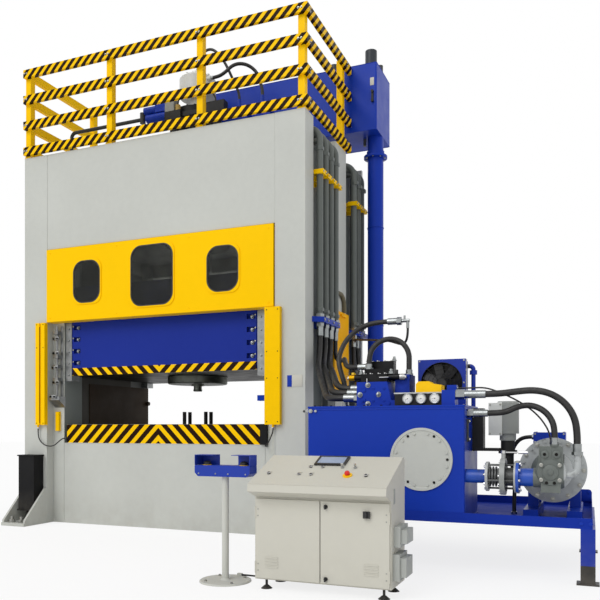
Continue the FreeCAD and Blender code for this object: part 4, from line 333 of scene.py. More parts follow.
# %% A blank material and its object coordinates
def blank(name):
    material = bpy.data.materials.new(name)
    material.use_nodes = True
    material.node_tree.nodes.clear()
    place = add(material, "TexCoord").outputs["Object"]
    return material, place


def zoned(material, place, colour, zones):
    """A colour that changes inside boxes: (low corner, high corner, colour)."""
    for low, high, other in zones:
        colour = blend(material, inside(material, place, low, high), colour, other)
    return colour


def close(material, colour, roughness, bump, **fixed):
    """The shader itself, with what never varies set on its own sockets."""
    shader = add(material, "BsdfPrincipled",
                 {"Base Color": colour, "Roughness": roughness, "Normal": bump, **fixed})
    add(material, "OutputMaterial", {"Surface": shader.outputs[0]})
    return material


# %% [markdown]
# ## Sprayed paint
# Most of the press is sprayed sheet and plate. The same recipe serves grey, blue, yellow
# and cream: slow drift, faint dust in the lowest half metre, rubbed spots and orange peel.

# %% Sprayed paint
def sprayed(name, colour, roughness=0.38, zones=(), drift=0.05, dust=0.25, coat=0.0, paint=None, shine=0.2):
    material, place = blank(name)
    paint = paint(material, place) if paint else zoned(material, place, colour, zones)
    shade = maths(material, "MULTIPLY", noise(material, place, 0.9, 1 - drift, 1 + drift * 0.6),
                  noise(material, place, 14, 1 - drift * 0.35, 1 + drift * 0.25))
    paint = shaded(material, paint, shade)
    height = add(material, "SeparateXYZ", {0: place}).outputs[2]
    dusty = maths(material, "MULTIPLY", spread(material, height, 0.0, 0.45, dust, 0.0),
                  noise(material, place, 9, 0.2, 1.0))
    paint = blend(material, dusty, paint, tone(142, 136, 124))
    scuffs = spread(material, noise(material, place, 34, 0.0, 1.0, 6.0), 0.86, 1.0)
    rough = maths(material, "ADD", noise(material, place, 5, roughness * 0.85, roughness * 1.15),
                  maths(material, "MULTIPLY", scuffs, 0.12))
    skin = relief(material, noise(material, place, 260, 0.0, 1.0, 2.0), 0.06, 0.0006)
    return close(material, paint, rough, skin, **{"Coat Weight": coat, "Coat Roughness": 0.2,
                                                  "Specular IOR Level": shine})


# %% [markdown]
# ## Warning stripes
# The stripes are tape and paint laid over yellow. Their direction changes: on the rails
# they lean one way all round, on the bed they meet in a peak and on the slide in a valley.
# Folding the sideways coordinate at the middle makes the peak and the valley.

# %% Stripes
def striped(pitch, across, fold=False, shift=0.0, bare=()):
    """Yellow and black along a direction; bare boxes have a plain colour."""
    def paint(material, place):
        x, y, z = add(material, "SeparateXYZ", {0: place}).outputs
        x = maths(material, "ABSOLUTE", x) if fold else x
        along = maths(material, "ADD", noise(material, place, 40, -0.0015, 0.0015), shift)
        for value, weight in zip((x, y, z), across):
            along = maths(material, "ADD", along, maths(material, "MULTIPLY", value, weight))
        turn = maths(material, "FRACT", maths(material, "DIVIDE", along, pitch))
        colour = blend(material, maths(material, "LESS_THAN", turn, 0.54), yellow_paint, stripe_black)
        return zoned(material, place, colour, bare)
    return paint


# %% [markdown]
# ## Bare metal, castings, rubber, plastic and glass
# Turned and ground steel shows fine streaks and uneven shine. A casting is painted over a
# grainy skin. Rubber is matt with a woven wrap, moulded plastic has a fine grain, and the
# guard's panes are clear sheet with smears over a dark inside.

# %% Bare metal
def metal(name, colour, roughness=0.3, grain=(6, 6, 160), zones=(), dirt=0.25):
    material, place = blank(name)
    base = zoned(material, place, colour, zones)
    streak = add(material, "Mapping", {"Vector": place, "Scale": grain}).outputs[0]
    lines = noise(material, streak, 8, 0.0, 1.0, 4.0)
    shade = maths(material, "MULTIPLY", noise(material, place, 12, 1 - dirt, 1.05),
                  blend_value(material, lines, 0.93, 1.04))
    base = shaded(material, base, shade)
    rough = maths(material, "ADD", noise(material, place, 30, roughness * 0.75, roughness * 1.25),
                  maths(material, "MULTIPLY", lines, 0.06))
    return close(material, base, rough, relief(material, lines, 0.05, 0.0004), Metallic=1.0)


# %% Painted castings
def casting(name, colour, roughness=0.5, zones=()):
    material, place = blank(name)
    base = zoned(material, place, colour, zones)
    shade = noise(material, place, 7, 0.82, 1.08, 5.0)
    base = shaded(material, base, shade)
    oil = spread(material, noise(material, place, 11, 0.0, 1.0, 6.0), 0.78, 1.0, 0.0, 0.5)
    base = blend(material, oil, base, tone(46, 44, 40))
    rough = noise(material, place, 26, roughness * 0.8, roughness * 1.15)
    skin = relief(material, noise(material, place, 170, 0.0, 1.0, 5.0), 0.28, 0.0012)
    return close(material, base, rough, skin)


# %% Rubber and moulded plastic
def rubber(name, colour=tone(23, 22, 21)):
    material, place = blank(name)
    base = shaded(material, colour, noise(material, place, 16, 0.7, 1.35))
    wrap = maths(material, "MULTIPLY", noise(material, place, 420, 0.0, 1.0),
                 noise(material, place, 90, 0.4, 1.0))
    return close(material, base, noise(material, place, 22, 0.42, 0.62), relief(material, wrap, 0.25, 0.0008))


def moulded(name, colour, roughness=0.45, zones=()):
    material, place = blank(name)
    base = zoned(material, place, colour, zones)
    shade = noise(material, place, 25, 0.93, 1.05)
    base = shaded(material, base, shade)
    skin = relief(material, noise(material, place, 900, 0.0, 1.0), 0.1, 0.0002)
    return close(material, base, noise(material, place, 40, roughness * 0.85, roughness * 1.15), skin)


# %% Guard panes
def pane(name):
    material, place = blank(name)
    smears = noise(material, place, 6, 0.0, 1.0, 6.0)
    tint = blend(material, smears, tone(112, 114, 110), tone(136, 137, 131))
    rough = blend_value(material, smears, 0.04, 0.14)
    skin = relief(material, smears, 0.02, 0.001)
    return close(material, tint, rough, skin, **{"Transmission Weight": 0.9, "IOR": 1.12})


# %% Give every part of the frame its finish
def mirrored(zones):
    """The same boxes on the other side of the press."""
    return [((-high[0], *low[1:]), (-low[0], *high[1:]), colour) for low, high, colour in zones]


tray_blue = tone(25, 51, 154)
# The middle colour on the next line is painted shade: a darker grey for the uprights' inner faces, which lie
# in the shade of the die space.
table_side, inner_shade_grey, silver = tone(108, 110, 108), tone(120, 122, 119), tone(186, 188, 186)
# Painted shade: the pockets between the ribs on the sides of the uprights, behind the risers, get a darker
# grey than the paint.
side_pocket_shade = [((1.60, start, 0.02), (1.90, end, 4.79), tone(106, 111, 110))
                for start, end in ((-0.83, -0.05), (0.33, 1.03))]
finishes = {
    "frame_grey": sprayed("grey_sprayed", grey_paint, 0.42),
    "upright_grey": sprayed("upright_sprayed", grey_paint, 0.42, zones=side_pocket_shade + [
        ((1.20, -0.944, 0.02), (1.80, 1.2, 3.56), inner_shade_grey)]),
    "left_upright_grey": sprayed("left_upright_sprayed", grey_paint, 0.42, zones=mirrored(side_pocket_shade) + [
        # Painted shade on the left upright's inner face: a shaded grey near the front, then a dark brown
        # further back in the die space.
        ((-1.80, -0.944, 0.02), (-1.20, -0.60, 3.56), tone(128, 134, 130)),
        ((-1.80, -0.60, 1.2), (-1.20, 0.5, 3.56), tone(58, 54, 46)),
        ((-1.80, 0.5, 0.02), (-1.20, 1.2, 3.56), inner_shade_grey)]),
    "machine_blue": sprayed("blue_sprayed", blue_paint, 0.36, coat=0.02, shine=0.12),
    "tray_blue": sprayed("tray_sprayed", tray_blue, 0.6, dust=0.0, shine=0.05),
    "leg_blue": sprayed("leg_sprayed", tray_blue, 0.36, shine=0.12, zones=[
        ((2.0, -3.0, -0.01), (5.2, 0.0, 0.155), tone(44, 43, 42))], coat=0.06),
    "slide_blue": sprayed("slide_sprayed", shaded_slide_blue, 0.42, shine=0.08, paint=striped(
        0.155, (1, 0, -1), fold=True, shift=1.925,
        bare=[((-1.4, -1.2, 2.017), (1.4, 1.2, 3.2), shaded_slide_blue),
              ((-1.4, -0.925, 1.9), (1.4, 1.2, 2.03), shaded_slide_blue),
              # Painted shade: the underside of the slide, below the stripes, is near black.
              ((-1.4, -0.925, 1.88), (1.4, 1.2, 1.9215), tone(30, 31, 27))])),
    "safety_yellow": sprayed("yellow_sprayed", yellow_paint, 0.34, drift=0.025, dust=0.1, shine=0.05),
    "rail_stripes": sprayed("rail_stripes", yellow_paint, 0.38, drift=0.03, shine=0.05, paint=striped(
        0.125, (1, 1, -1), bare=[((-2.1, -1.052, 4.7), (-1.9, 1.2, 6.1), yellow_paint)])),
    "table_stripes": sprayed("table_stripes", yellow_paint, 0.42, drift=0.05, shine=0.05, paint=striped(
        0.16, (1, 0, 1), fold=True, shift=-1.155,
        bare=[((-1.5, -0.944, 0.9), (1.5, 1.2, 1.4), table_side),
              ((-1.5, -1.1, 1.281), (1.5, 1.1, 1.4), table_side)])),
    "black_paint": sprayed("black_sprayed", black_paint, 0.45, drift=0.2),
    "inner_black": sprayed("inner_black", tone(44, 36, 29), 0.5, drift=0.25),
    "black_steel": metal("blackened_steel", tone(42, 41, 40), 0.42),
    "guide_steel": metal("guide_steel", tone(150, 152, 152), 0.34, grain=(120, 120, 4)),
    "adapter_steel": metal("adapter_steel", tone(116, 120, 112), 0.45),
    "steel": metal("zinc_steel", tone(168, 168, 162), 0.34),
    "chrome": metal("polished_chrome", tone(214, 214, 214), 0.14, dirt=0.12),
    "fitting_steel": metal("zinc_fittings", tone(160, 164, 164), 0.3),
    "pipe_paint": sprayed("pipe_sprayed", tone(106, 111, 107), 0.36, drift=0.1),
    "hose_rubber": rubber("hose_rubber"),
    "dark_glass": pane("guard_glass"),
    "cast_grey": casting("painted_casting", cast_paint, 0.48, zones=[
        ((4.44, -2.36, 0.70), (4.73, -1.99, 1.13), tone(100, 106, 102))]),
    "console_cream": sprayed("cream_sprayed", cream_paint, 0.44, drift=0.025, dust=0.12),
    "black_plastic": moulded("black_moulded", tone(33, 33, 34)),
    "red_plastic": moulded("red_moulded", tone(214, 32, 26), 0.3),
}

# %% [markdown]
# ## Parts with several colours
# Some castings and valve banks carry more than one colour: brass plugs, a yellow knob, a
# silver shelf. Each colour is set inside a box around the place where it is on the part.

# %% Parts with several colours
dials = [(x, 1.497) for x in (3.447, 3.566, 3.685)]
slices = [(4.117, 4.1385, silver), (4.1385, 4.234, tone(92, 94, 94)), (4.234, 4.276, tone(152, 155, 153)),
          (4.276, 4.346, tone(64, 66, 66)), (4.346, 4.3605, tone(176, 178, 176))]
tie_rods = [((4.10, -2.45, low), (4.385, -2.0, high), tone(170, 172, 170))
            for low, high in ((0.955, 1.1), (0.6, 0.715))]
finishes.update({
    "deck_finish": sprayed("deck_valves_sprayed", black_paint, 0.35, drift=0.15, zones=[
        ((-0.245, -0.50, 5.382), (-0.105, -0.2, 5.56), tone(150, 152, 148)),
        ((-0.105, -0.50, 5.382), (-0.02, -0.2, 5.48), tone(176, 148, 84)),
        ((-0.58, -0.50, 5.2), (-0.242, -0.2, 5.56), blue_paint),
        ((-1.9, -0.50, 4.7), (-0.578, -0.2, 5.5), tone(58, 60, 60)),
        ((0.45, 0.0, 5.4), (1.1, 0.5, 5.7), blue_paint)]),
    "gauge_finish": sprayed("gauge_board_sprayed", black_paint, 0.4, zones=[
        ((3.31, -2.29, 1.540), (3.76, -2.0, 1.5535), tone(196, 198, 196)),
        ((3.49, -2.20, 1.5535), (3.73, -2.0, 1.66), yellow_paint),
        *[((x - 0.047, -2.30, z - 0.047), (x + 0.047, -2.262, z + 0.047), tone(120, 122, 122))
          for x, z in dials]]),
    "valve_finish": metal("valve_blackened", tone(40, 40, 41), 0.4, zones=[
        ((3.262, -2.02, 1.48), (3.41, -1.78, 1.74), tone(38, 58, 150)),
        ((2.84, -2.13, 1.68), (2.90, -2.02, 1.74), tone(196, 150, 22)),
        ((3.33, -2.13, 1.68), (3.38, -2.02, 1.74), tone(190, 190, 188))]),
    "suction_finish": casting("suction_painted", tone(30, 78, 178), 0.36, zones=[
        *[((start, -2.45, 0.6), (end, -2.0, 1.1), colour) for start, end, colour in slices], *tie_rods]),
    "circulation_finish": sprayed("circulation_sprayed", tone(40, 40, 40), 0.5, dust=0.0, zones=[
        ((4.09, -1.97, 1.13), (4.36, -1.75, 1.48), tone(150, 153, 150)),
        ((4.09, -1.97, 1.17), (4.2115, -1.80, 1.47), tone(214, 216, 212))]),
    "clamp_finish": sprayed("clamp_sprayed", yellow_paint, 0.36, shine=0.05, zones=[
        ((1.99, -0.2, 1.6), (2.06, 0.45, 2.71), tone(255, 186, 24))]),
    "cover_finish": sprayed("cover_sprayed", black_paint, 0.5, drift=0.2, shine=0.08, zones=[
        ((1.99, -0.2, 2.69), (2.1, 0.3, 3.0), tone(112, 106, 86)),
        ((-1.5, -0.5, 1.2), (-1.3, 1.0, 1.9), tone(62, 50, 38))]),
    "curtain_finish": sprayed("curtain_sprayed", yellow_paint, 0.34, shine=0.05, dust=0.0, zones=[
        ((-1.706, -1.14, 1.30), (-1.678, -1.118, 2.55), tone(120, 84, 30)),
        ((1.34, -0.96, 1.5), (1.46, -0.8, 1.7), blue_paint)]),
    "cooler_finish": sprayed("cooler_sprayed", tray_blue, 0.34, coat=0.06, zones=[
        ((3.45, -1.79, 1.45), (3.855, -1.61, 1.86), tone(24, 24, 25)),
        ((3.868, -1.765, 1.43), (3.8735, -1.59, 1.88), tone(176, 174, 160)),
        ((3.8735, -1.8, 1.78), (3.893, -1.5, 1.85), tone(52, 52, 56))]),
    "head_finish": sprayed("head_sprayed", tone(206, 207, 203), 0.36, coat=0.06),
    "tank_fittings_finish": sprayed("tank_fittings_sprayed", tone(70, 72, 72), 0.34, drift=0.12, zones=[
        ((2.1, 0.6, 5.9), (2.32, 0.85, 6.3), tone(58, 62, 66)),
        ((2.28, 0.43, 5.4), (2.35, 0.48, 5.63), tone(30, 30, 30)),
        ((2.5, -2.4, 1.36), (2.64, -2.28, 1.42), silver)]),
    "control_finish": moulded("console_controls_moulded", tone(38, 38, 39), 0.4, zones=[
        ((3.23, -3.44, 0.87), (3.31, -3.36, 0.915), yellow_paint),
        ((3.17, -3.31, 0.9), (3.32, -3.25, 0.98), tone(150, 152, 150))]),
    "console_finish": sprayed("console_sprayed", cream_paint, 0.44, drift=0.025, dust=0.12, zones=[
        ((2.5, -3.6, -0.01), (3.8, -3.0, 0.071), tone(40, 40, 40)),
        ((3.6105, -3.6, 0.05), (3.8, -3.0, 0.9), tone(168, 171, 167))]),
    "stand_finish": sprayed("stand_sprayed", tone(198, 199, 192), 0.4, drift=0.03, dust=0.05),
    "head_blue": sprayed("stand_head_sprayed", tone(34, 60, 162), 0.32, coat=0.06),
})
chosen = {
    "upright_right": "upright_grey", "upright_left": "left_upright_grey", "slide": "slide_blue",
    "railing_rails": "rail_stripes", "table": "table_stripes", "drip_tray": "tray_blue",
    "unit_legs": "leg_blue", "deck_valves": "deck_finish", "gauge_panel": "gauge_finish",
    "valve_stack": "valve_finish", "suction_line": "suction_finish",
    "circulation_pump": "circulation_finish", "pipe_clamps": "clamp_finish",
    "dark_covers": "cover_finish", "light_curtains": "curtain_finish", "cooler_housing": "cooler_finish",
    "cylinder_head": "head_finish", "tank_fittings": "tank_fittings_finish",
    "console_controls": "control_finish", "console_cabinet": "console_finish", "stand_post": "stand_finish",
    "stand_head": "head_blue", "cushion_cylinder": "inner_black", "main_cylinder": "black_paint",
    "punch_adapter": "adapter_steel", "hose_fittings": "fitting_steel",
}
for part in frame["record"]["subparts"]:
    mesh = nodes[part["node"]].data
    finish = finishes[chosen.get(part["node"], part["material_slot"])]
    mesh.materials.clear()
    mesh.materials.append(finish)
for hose in hoses.values():
    hose.data.materials.append(finishes["hose_rubber"])
print(len(finishes), "finishes on", len(nodes), "parts")

# %% [markdown]
# ## Helpers for the small pieces
# Screws, nuts and beads come in rows and rings. One shape is made with a few operators
# and then stamped at a list of places into a single mesh, so each row is one object with
# its place in its mesh. Edges sharper than 35 degrees stay crisp, the rest is smooth.

# %% Settle a mesh as a piece of the press
def settle(name, mesh, finish, body="press"):
    """Turns a mesh into a piece with the given finish in its slot."""
    bmesh.ops.remove_doubles(mesh, verts=mesh.verts, dist=0.00002)
    bmesh.ops.recalc_face_normals(mesh, faces=mesh.faces)
    for face in mesh.faces:
        face.smooth = True
    for edge in mesh.edges:
        edge.smooth = edge.is_manifold and edge.calc_face_angle(0) < math.radians(35)
    data = bpy.data.meshes.new(name)
    mesh.to_mesh(data)
    mesh.free()
    data.materials.append(finishes[finish])
    piece = show(name, data)
    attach(piece, body)
    print(name, len(data.polygons), "faces")


# %% Join small meshes and stamp one shape at many places
def pour(mesh, whole):
    """Moves a small mesh into a larger one."""
    data = bpy.data.meshes.new("part")
    mesh.to_mesh(data)
    mesh.free()
    whole.from_mesh(data)
    bpy.data.meshes.remove(data)


def merge(meshes):
    whole = bmesh.new()
    for mesh in meshes:
        pour(mesh, whole)
    return whole


def stamp(shape, places):
    whole = bmesh.new()
    for place in places:
        first = len(whole.verts)
        pour(shape.copy(), whole)
        whole.verts.ensure_lookup_table()
        bmesh.ops.transform(whole, matrix=place, verts=whole.verts[first:])
    shape.free()
    return whole


def row(name, shape, places, finish, body="press"):
    """One small shape at many places, as one piece."""
    settle(name, stamp(shape, places), finish, body)


# %% Places on flat faces and round circles
front, right, left, up, down = (0, -1, 0), (1, 0, 0), (-1, 0, 0), (0, 0, 1), (0, 0, -1)


def facing(point, normal=front):
    """The place of a shape that stands on a face, with the face's own direction."""
    return Matrix.Translation(point) @ Vector(normal).to_track_quat("Z", "Y").to_matrix().to_4x4()


def grid(xs, ys, zs, normal=front):
    """A place for each crossing of the given coordinates."""
    return [facing((x, y, z), normal) for x in xs for y in ys for z in zs]


def ring(centre, radius, count, normal=front, start=0.0):
    """Places round a circle, standing along its axis."""
    base = facing(centre, normal)
    step = 2 * math.pi / count
    return [base @ Matrix.Rotation(start + i * step, 4, "Z") @ Matrix.Translation((radius, 0, 0))
            for i in range(count)]


def loop(centre, radius, normal=front, count=64):
    """Points round a circle."""
    return [tuple(place.translation) for place in ring(centre, radius, count, normal)]


# %% Turned bars, hexagon screws and cap screws
def soften(shape, geom, offset, segments=2, affect="EDGES"):
    bmesh.ops.bevel(shape, geom=geom, offset=offset, segments=segments, profile=0.5, affect=affect,
                    material=-1)


def bar(shape, radius, low, high, segments):
    """A round or many-sided bar along Z between two heights."""
    middle = Matrix.Translation((0, 0, (low + high) / 2))
    return bmesh.ops.create_cone(shape, cap_ends=True, segments=segments, radius1=radius, radius2=radius,
                                 depth=high - low, matrix=middle)["verts"]


def turned_rod(radius, length, edge=0.0015, segments=28):
    """A bar along Z with a small chamfer at both ends."""
    shape = bmesh.new()
    bar(shape, radius, 0, length, segments)
    rims = [e for e in shape.edges if abs(e.verts[0].co.z - e.verts[1].co.z) < 1e-6]
    soften(shape, rims, min(edge, radius * 0.3))
    return shape


def hexagon_screw(size, height):
    """A hexagon head on a round washer."""
    shape = bmesh.new()
    bar(shape, size * 1.3, 0, height * 0.25, 20)
    head = bar(shape, size, height * 0.25, height, 6)
    rim = [e for e in shape.edges if all(v in head and v.co.z > height * 0.9 for v in e.verts)]
    soften(shape, rim, size * 0.14)
    return shape


def cap_screw(size, height):
    """A round head with a socket."""
    shape = bmesh.new()
    count = 18
    bar(shape, size, 0, height, count)
    for thickness, depth in ((size * 0.12, height * 0.08), (size * 0.38, 0)):
        top = [f for f in shape.faces if f.normal.z > 0.9 and len(f.verts) == count]
        bmesh.ops.inset_region(shape, faces=top, thickness=thickness, depth=depth)
    top = [f for f in shape.faces if f.normal.z > 0.9 and len(f.verts) == count]
    pushed = bmesh.ops.extrude_discrete_faces(shape, faces=top)["faces"]
    bmesh.ops.translate(shape, verts=list({v for f in pushed for v in f.verts}), vec=(0, 0, -height * 0.5))
    return shape


# %% Plates and beads
def plate(low, high, edge=0.002, segments=2):
    """A block between two corners with rounded edges."""
    shape = bmesh.new()
    size = [b - a for a, b in zip(low, high)]
    middle = [(a + b) / 2 for a, b in zip(low, high)]
    bmesh.ops.create_cube(shape, size=1, matrix=Matrix.Translation(middle) @ Matrix.Diagonal((*size, 1)))
    soften(shape, shape.edges[:], min(edge, min(size) * 0.45), segments)
    return shape


def beads(runs, radius, closed=False):
    """Thin round beads along straight runs, as one mesh."""
    line = bpy.data.curves.new("bead", "CURVE")
    line.dimensions = "3D"
    line.bevel_depth = radius
    line.bevel_resolution = 2
    line.use_fill_caps = not closed
    for run in runs:
        spline = line.splines.new("POLY")
        spline.points.add(len(run) - 1)
        spline.use_cyclic_u = closed
        for point, place in zip(spline.points, run):
            point.co = (*place, 1)
    holder = bpy.data.objects.new("bead", line)
    data = bpy.data.meshes.new_from_object(holder)
    bpy.data.objects.remove(holder)
    shape = bmesh.new()
    shape.from_mesh(data)
    bpy.data.meshes.remove(data)
    return shape


def hoops(circles, radius, count, normal=front):
    """Closed round wires: (centre, radius of the hoop) each."""
    return merge([beads([loop(centre, size, normal, count)], radius, closed=True)
                  for centre, size in circles])


print("helpers ready")

# %% [markdown]
# ## Guard gaskets and screws
# Each pane sits in a black rubber gasket with round corners. Two rectangles get their
# corners rounded by bevelling their vertices, the space between their outlines is bridged,
# and pulling that ring forward gives it its thickness. One such ring in yellow is the
# pressed edge of the sheet and one in rubber is the gasket. Painted screws hold the sheet.

# %% A rounded opening between two loops, pulled forward
def pull(shape, faces, distance):
    """Extrudes faces along Y."""
    pulled = bmesh.ops.extrude_face_region(shape, geom=faces)["geom"]
    corners = [v for v in pulled if isinstance(v, bmesh.types.BMVert)]
    bmesh.ops.translate(shape, verts=corners, vec=(0, distance, 0))


def opening_ring(centre, outer, inner, face, thick):
    """A flat ring between two rounded rectangles: (width, height, corner) each."""
    shape = bmesh.new()
    upright = Matrix.Rotation(math.pi / 2, 4, "X")
    for width, height, corner in (outer, inner):
        sheet = bmesh.new()
        bmesh.ops.create_grid(sheet, x_segments=1, y_segments=1, size=0.5,
                              matrix=upright @ Matrix.Diagonal((width, height, 1, 1)))
        soften(sheet, sheet.verts[:], corner, 10, "VERTICES")
        bmesh.ops.delete(sheet, geom=sheet.faces[:], context="FACES_ONLY")
        pour(sheet, shape)
    bmesh.ops.bridge_loops(shape, edges=shape.edges[:])
    pull(shape, shape.faces[:], -thick)
    bmesh.ops.translate(shape, verts=shape.verts, vec=(centre[0], face, centre[1]))
    return shape


finishes["gasket_rubber"] = rubber("gasket_rubber", tone(40, 37, 33))
guard_face = -1.09
windows = [(-0.973, 3.093, 0.428, 0.548), (0.0, 3.098, 0.618, 0.753), (0.973, 3.093, 0.428, 0.548)]
surrounds = [opening_ring((x, z), (w + 0.024, h + 0.024, 0.120), (w - 0.010, h - 0.010, 0.150),
                          guard_face - 0.0045, 0.0045) for x, z, w, h in windows]
settle("window_surrounds", merge(surrounds), "safety_yellow")
gaskets = [opening_ring((x, z), (w - 0.008, h - 0.008, 0.151), (w - 0.036, h - 0.036, 0.140),
                        guard_face - 0.0040, 0.0062) for x, z, w, h in windows]
settle("window_gaskets", merge(gaskets), "gasket_rubber")

# %% Screws and the folded lip of the guard
sunk = 0.0005
guard_screws = grid((-1.56, -0.52, 0.52, 1.56), (guard_face + sunk,), (2.66, 3.50))
row("guard_screws", cap_screw(0.008, 0.005), guard_screws, "safety_yellow")
lip = plate((-1.612, guard_face - 0.006, 2.612), (1.612, guard_face + sunk, 2.628))
settle("guard_lip", lip, "safety_yellow")

# %% [markdown]
# ## Slide, gibs and light curtains
# The slide hangs on its guides by bolts that are seen as bright dots in their pockets.
# The guides themselves are set with rows of adjusting screws. The light curtains have
# small screws along their posts and a gland below, where the cable leaves.

# %% Bolts in the slide's pockets and screws at its edges
slide_face = -0.93
pockets = grid((-1.262, 1.262), (-0.888,), [2.085 + 0.153 * i for i in range(5)])
row("slide_bolts", hexagon_screw(0.017, 0.028), pockets, "fitting_steel", "slide")
edge_places = grid((-1.318, 1.318), (slide_face + sunk,), [2.10 + 0.153 * i for i in range(6)])
row("slide_edge_screws", cap_screw(0.010, 0.008), edge_places, "steel", body="slide")

# %% Adjusting screws on the guides
gib_places = grid((-1.392, 1.392), (slide_face + sunk,), [1.93 + 0.15 * i for i in range(12)])
row("guide_screws", hexagon_screw(0.011, 0.014), gib_places, "guide_steel")

# %% Light curtain screws and glands
curtain_face = (-1.1295,)
curtain_screws = grid((1.555, 1.690), curtain_face, (1.31, 1.80, 2.10, 2.57))
curtain_screws += grid((-1.745, -1.640), curtain_face, (1.30, 2.28, 2.58))
row("curtain_screws", cap_screw(0.006, 0.004), curtain_screws, "black_steel")
row("curtain_glands", hexagon_screw(0.019, 0.018), grid((1.622, -1.75), (-1.10,), (1.247,), down), "chrome")

# %% [markdown]
# ## Frame: weld beads, the bare plate and the stop rail
# The frame is welded from thick plate, and a painted bead runs along each joint. Beside
# the opening there is a small bare plate, a third of it blue, and at the left guide a
# stop rail with its clips.

# %% Weld beads along the uprights and the crown
bead_runs = [[(-1.445, -0.9515, 1.043), (1.445, -0.9515, 1.043)]]
upright_beads = [(1.63, -1.0715, 0.02, 2.60), (1.6275, -1.0685, 3.56, 4.79), (1.452, -0.952, 0.03, 1.04)]
upright_beads += [(1.822, y, 0.03, 4.78) for y in (-0.82, -0.066, 0.347, 1.02)]
for side in (-1, 1):
    bead_runs += [[(side * x, y, low), (side * x, y, high)] for x, y, low, high in upright_beads]
    bead_runs += [[(side * 1.64, y, 0.452), (side * 1.99, y, 0.452)] for y in (-1.0715, 1.0715)]
settle("frame_weld_beads", beads(bead_runs, 0.0035), "frame_grey")

# %% The bare plate on the right upright, with its blue end
settle("bare_plate", plate((1.781, -1.0745, 1.697), (1.968, -1.0695, 1.833)), "console_cream")
settle("bare_plate_end", plate((1.784, -1.0755, 1.700), (1.840, -1.0743, 1.830), 0.0005), "machine_blue")

# %% Stop rail clips beside the left guide, each on the rail's own front
rail_front = (-1.070, -1.015, -1.032, -1.015, -1.015)
clip_levels = [(y, 1.62 + 0.19 * i) for i, y in enumerate(rail_front)]
clips = [plate((-1.575, y - 0.018, z), (-1.475, y + 0.001, z + 0.045), 0.003) for y, z in clip_levels]
settle("stop_rail_clips", merge(clips), "guide_steel")
clip_screws = [facing((x, y - 0.0175, z + 0.0225)) for y, z in clip_levels for x in (-1.555, -1.495)]
row("stop_rail_screws", hexagon_screw(0.011, 0.014), clip_screws, "black_steel")

# %% [markdown]
# ## Railing and deck
# The rails are bolted to square posts, two bolts at each crossing. On the deck the
# cylinder's flange carries a ring of heavy bolts, and the filling tank has welded seams,
# lifting eyes and a small bare plate beside its level gauge.

# %% Bolts of the rails, the cylinder's flanges and the posts' feet
rail_levels = (4.88, 5.22, 5.56, 5.90)
front_posts, side_posts = (-1.95, -0.65, 0.65, 1.95), (-1.02, 0.273)
crossings = grid([x + dx for x in front_posts for dx in (-0.018, 0.018)], (-1.1095,), rail_levels)
crossings += grid((2.0395,), side_posts, [z + dz for z in rail_levels for dz in (-0.02, 0.02)], right)
row("railing_bolts", hexagon_screw(0.010, 0.010), crossings, "steel")
row("cylinder_bolts", hexagon_screw(0.019, 0.030), ring((0, 0, 5.4795), 0.270, 16, up), "black_steel")
feet = [(x, side_posts[0]) for x in front_posts] + [(x, side_posts[1]) for x in (-1.95, 1.95)]
foot_bolts = [facing((x + dx, y + dy, 4.8125), up) for x, y in feet
              for dx in (-0.043, 0.043) for dy in (-0.043, 0.043)]
row("post_foot_bolts", hexagon_screw(0.006, 0.010), foot_bolts, "steel")
row("head_bolts", cap_screw(0.013, 0.014), ring((0, 0, 5.958), 0.205, 10, up), "chrome")

# %% Filling tank: seams round its folded corners, eyes and a bare plate
(x0, y0, z0), (x1, y1, z1) = (0.005, 0.47, 5.105), (2.374, 1.125, 5.968)
fold, inset = 0.020, 0.0057
seams = [[(x, y, z0 + 0.004), (x, y, z1 - 0.004)]
         for x in (x0 + inset, x1 - inset) for y in (y0 + inset, y1 - inset)]
rim = [(x0, y0 + fold), (x0 + inset, y0 + inset), (x0 + fold, y0), (x1 - fold, y0), (x1 - inset, y0 + inset),
       (x1, y0 + fold), (x1, y1 - fold), (x1 - inset, y1 - inset), (x1 - fold, y1), (x0 + fold, y1),
       (x0 + inset, y1 - inset), (x0, y1 - fold), (x0, y0 + fold)]
seams += [[(x, y, z) for x, y in rim] for z in (z0, z1)]
settle("filling_tank_seams", beads(seams, 0.004), "machine_blue")
eyes = hoops([((x, 0.80, 5.995), 0.028) for x in (0.25, 1.35)], 0.008, 28, right)
settle("lifting_eyes", eyes, "black_steel")
settle("filling_tank_plate", plate((2.288, 0.4660, 5.675), (2.340, 0.4705, 5.775), 0.001), "console_cream")

# %% [markdown]
# ## Risers
# The steel pipes climb the side of the right upright. Each has a union nut low down where
# its hose begins and another near the top, and two bolts hold its clamp. The
# wide overflow pipe behind them has bands and a ring of bolts under its top flange.

# %% Union nuts, clamp bolts and bracket bolts
riser_y = (-0.74, -0.56, -0.38, -0.20, 0.52, 0.69, 0.86)
nuts = [facing((2.05 if y < 0.5 else 2.065, y, z), up) for y in riser_y for z in (2.5775, 4.4275)]
row("riser_nuts", turned_rod(0.050, 0.045, 0.005, 6), nuts, "pipe_paint")
clamp_y = [y + dy for y in riser_y for dy in (-0.046, 0.046)]
row("clamp_bolts", hexagon_screw(0.009, 0.010), grid((2.1115,), clamp_y, (4.175,), right), "steel")
bracket_y = (-0.77, -0.65, -0.47, -0.29, 0.50, 0.605, 0.775, 0.95)
row("bracket_bolts", hexagon_screw(0.012, 0.012), grid((2.119,), bracket_y, (2.48,), right), "steel")

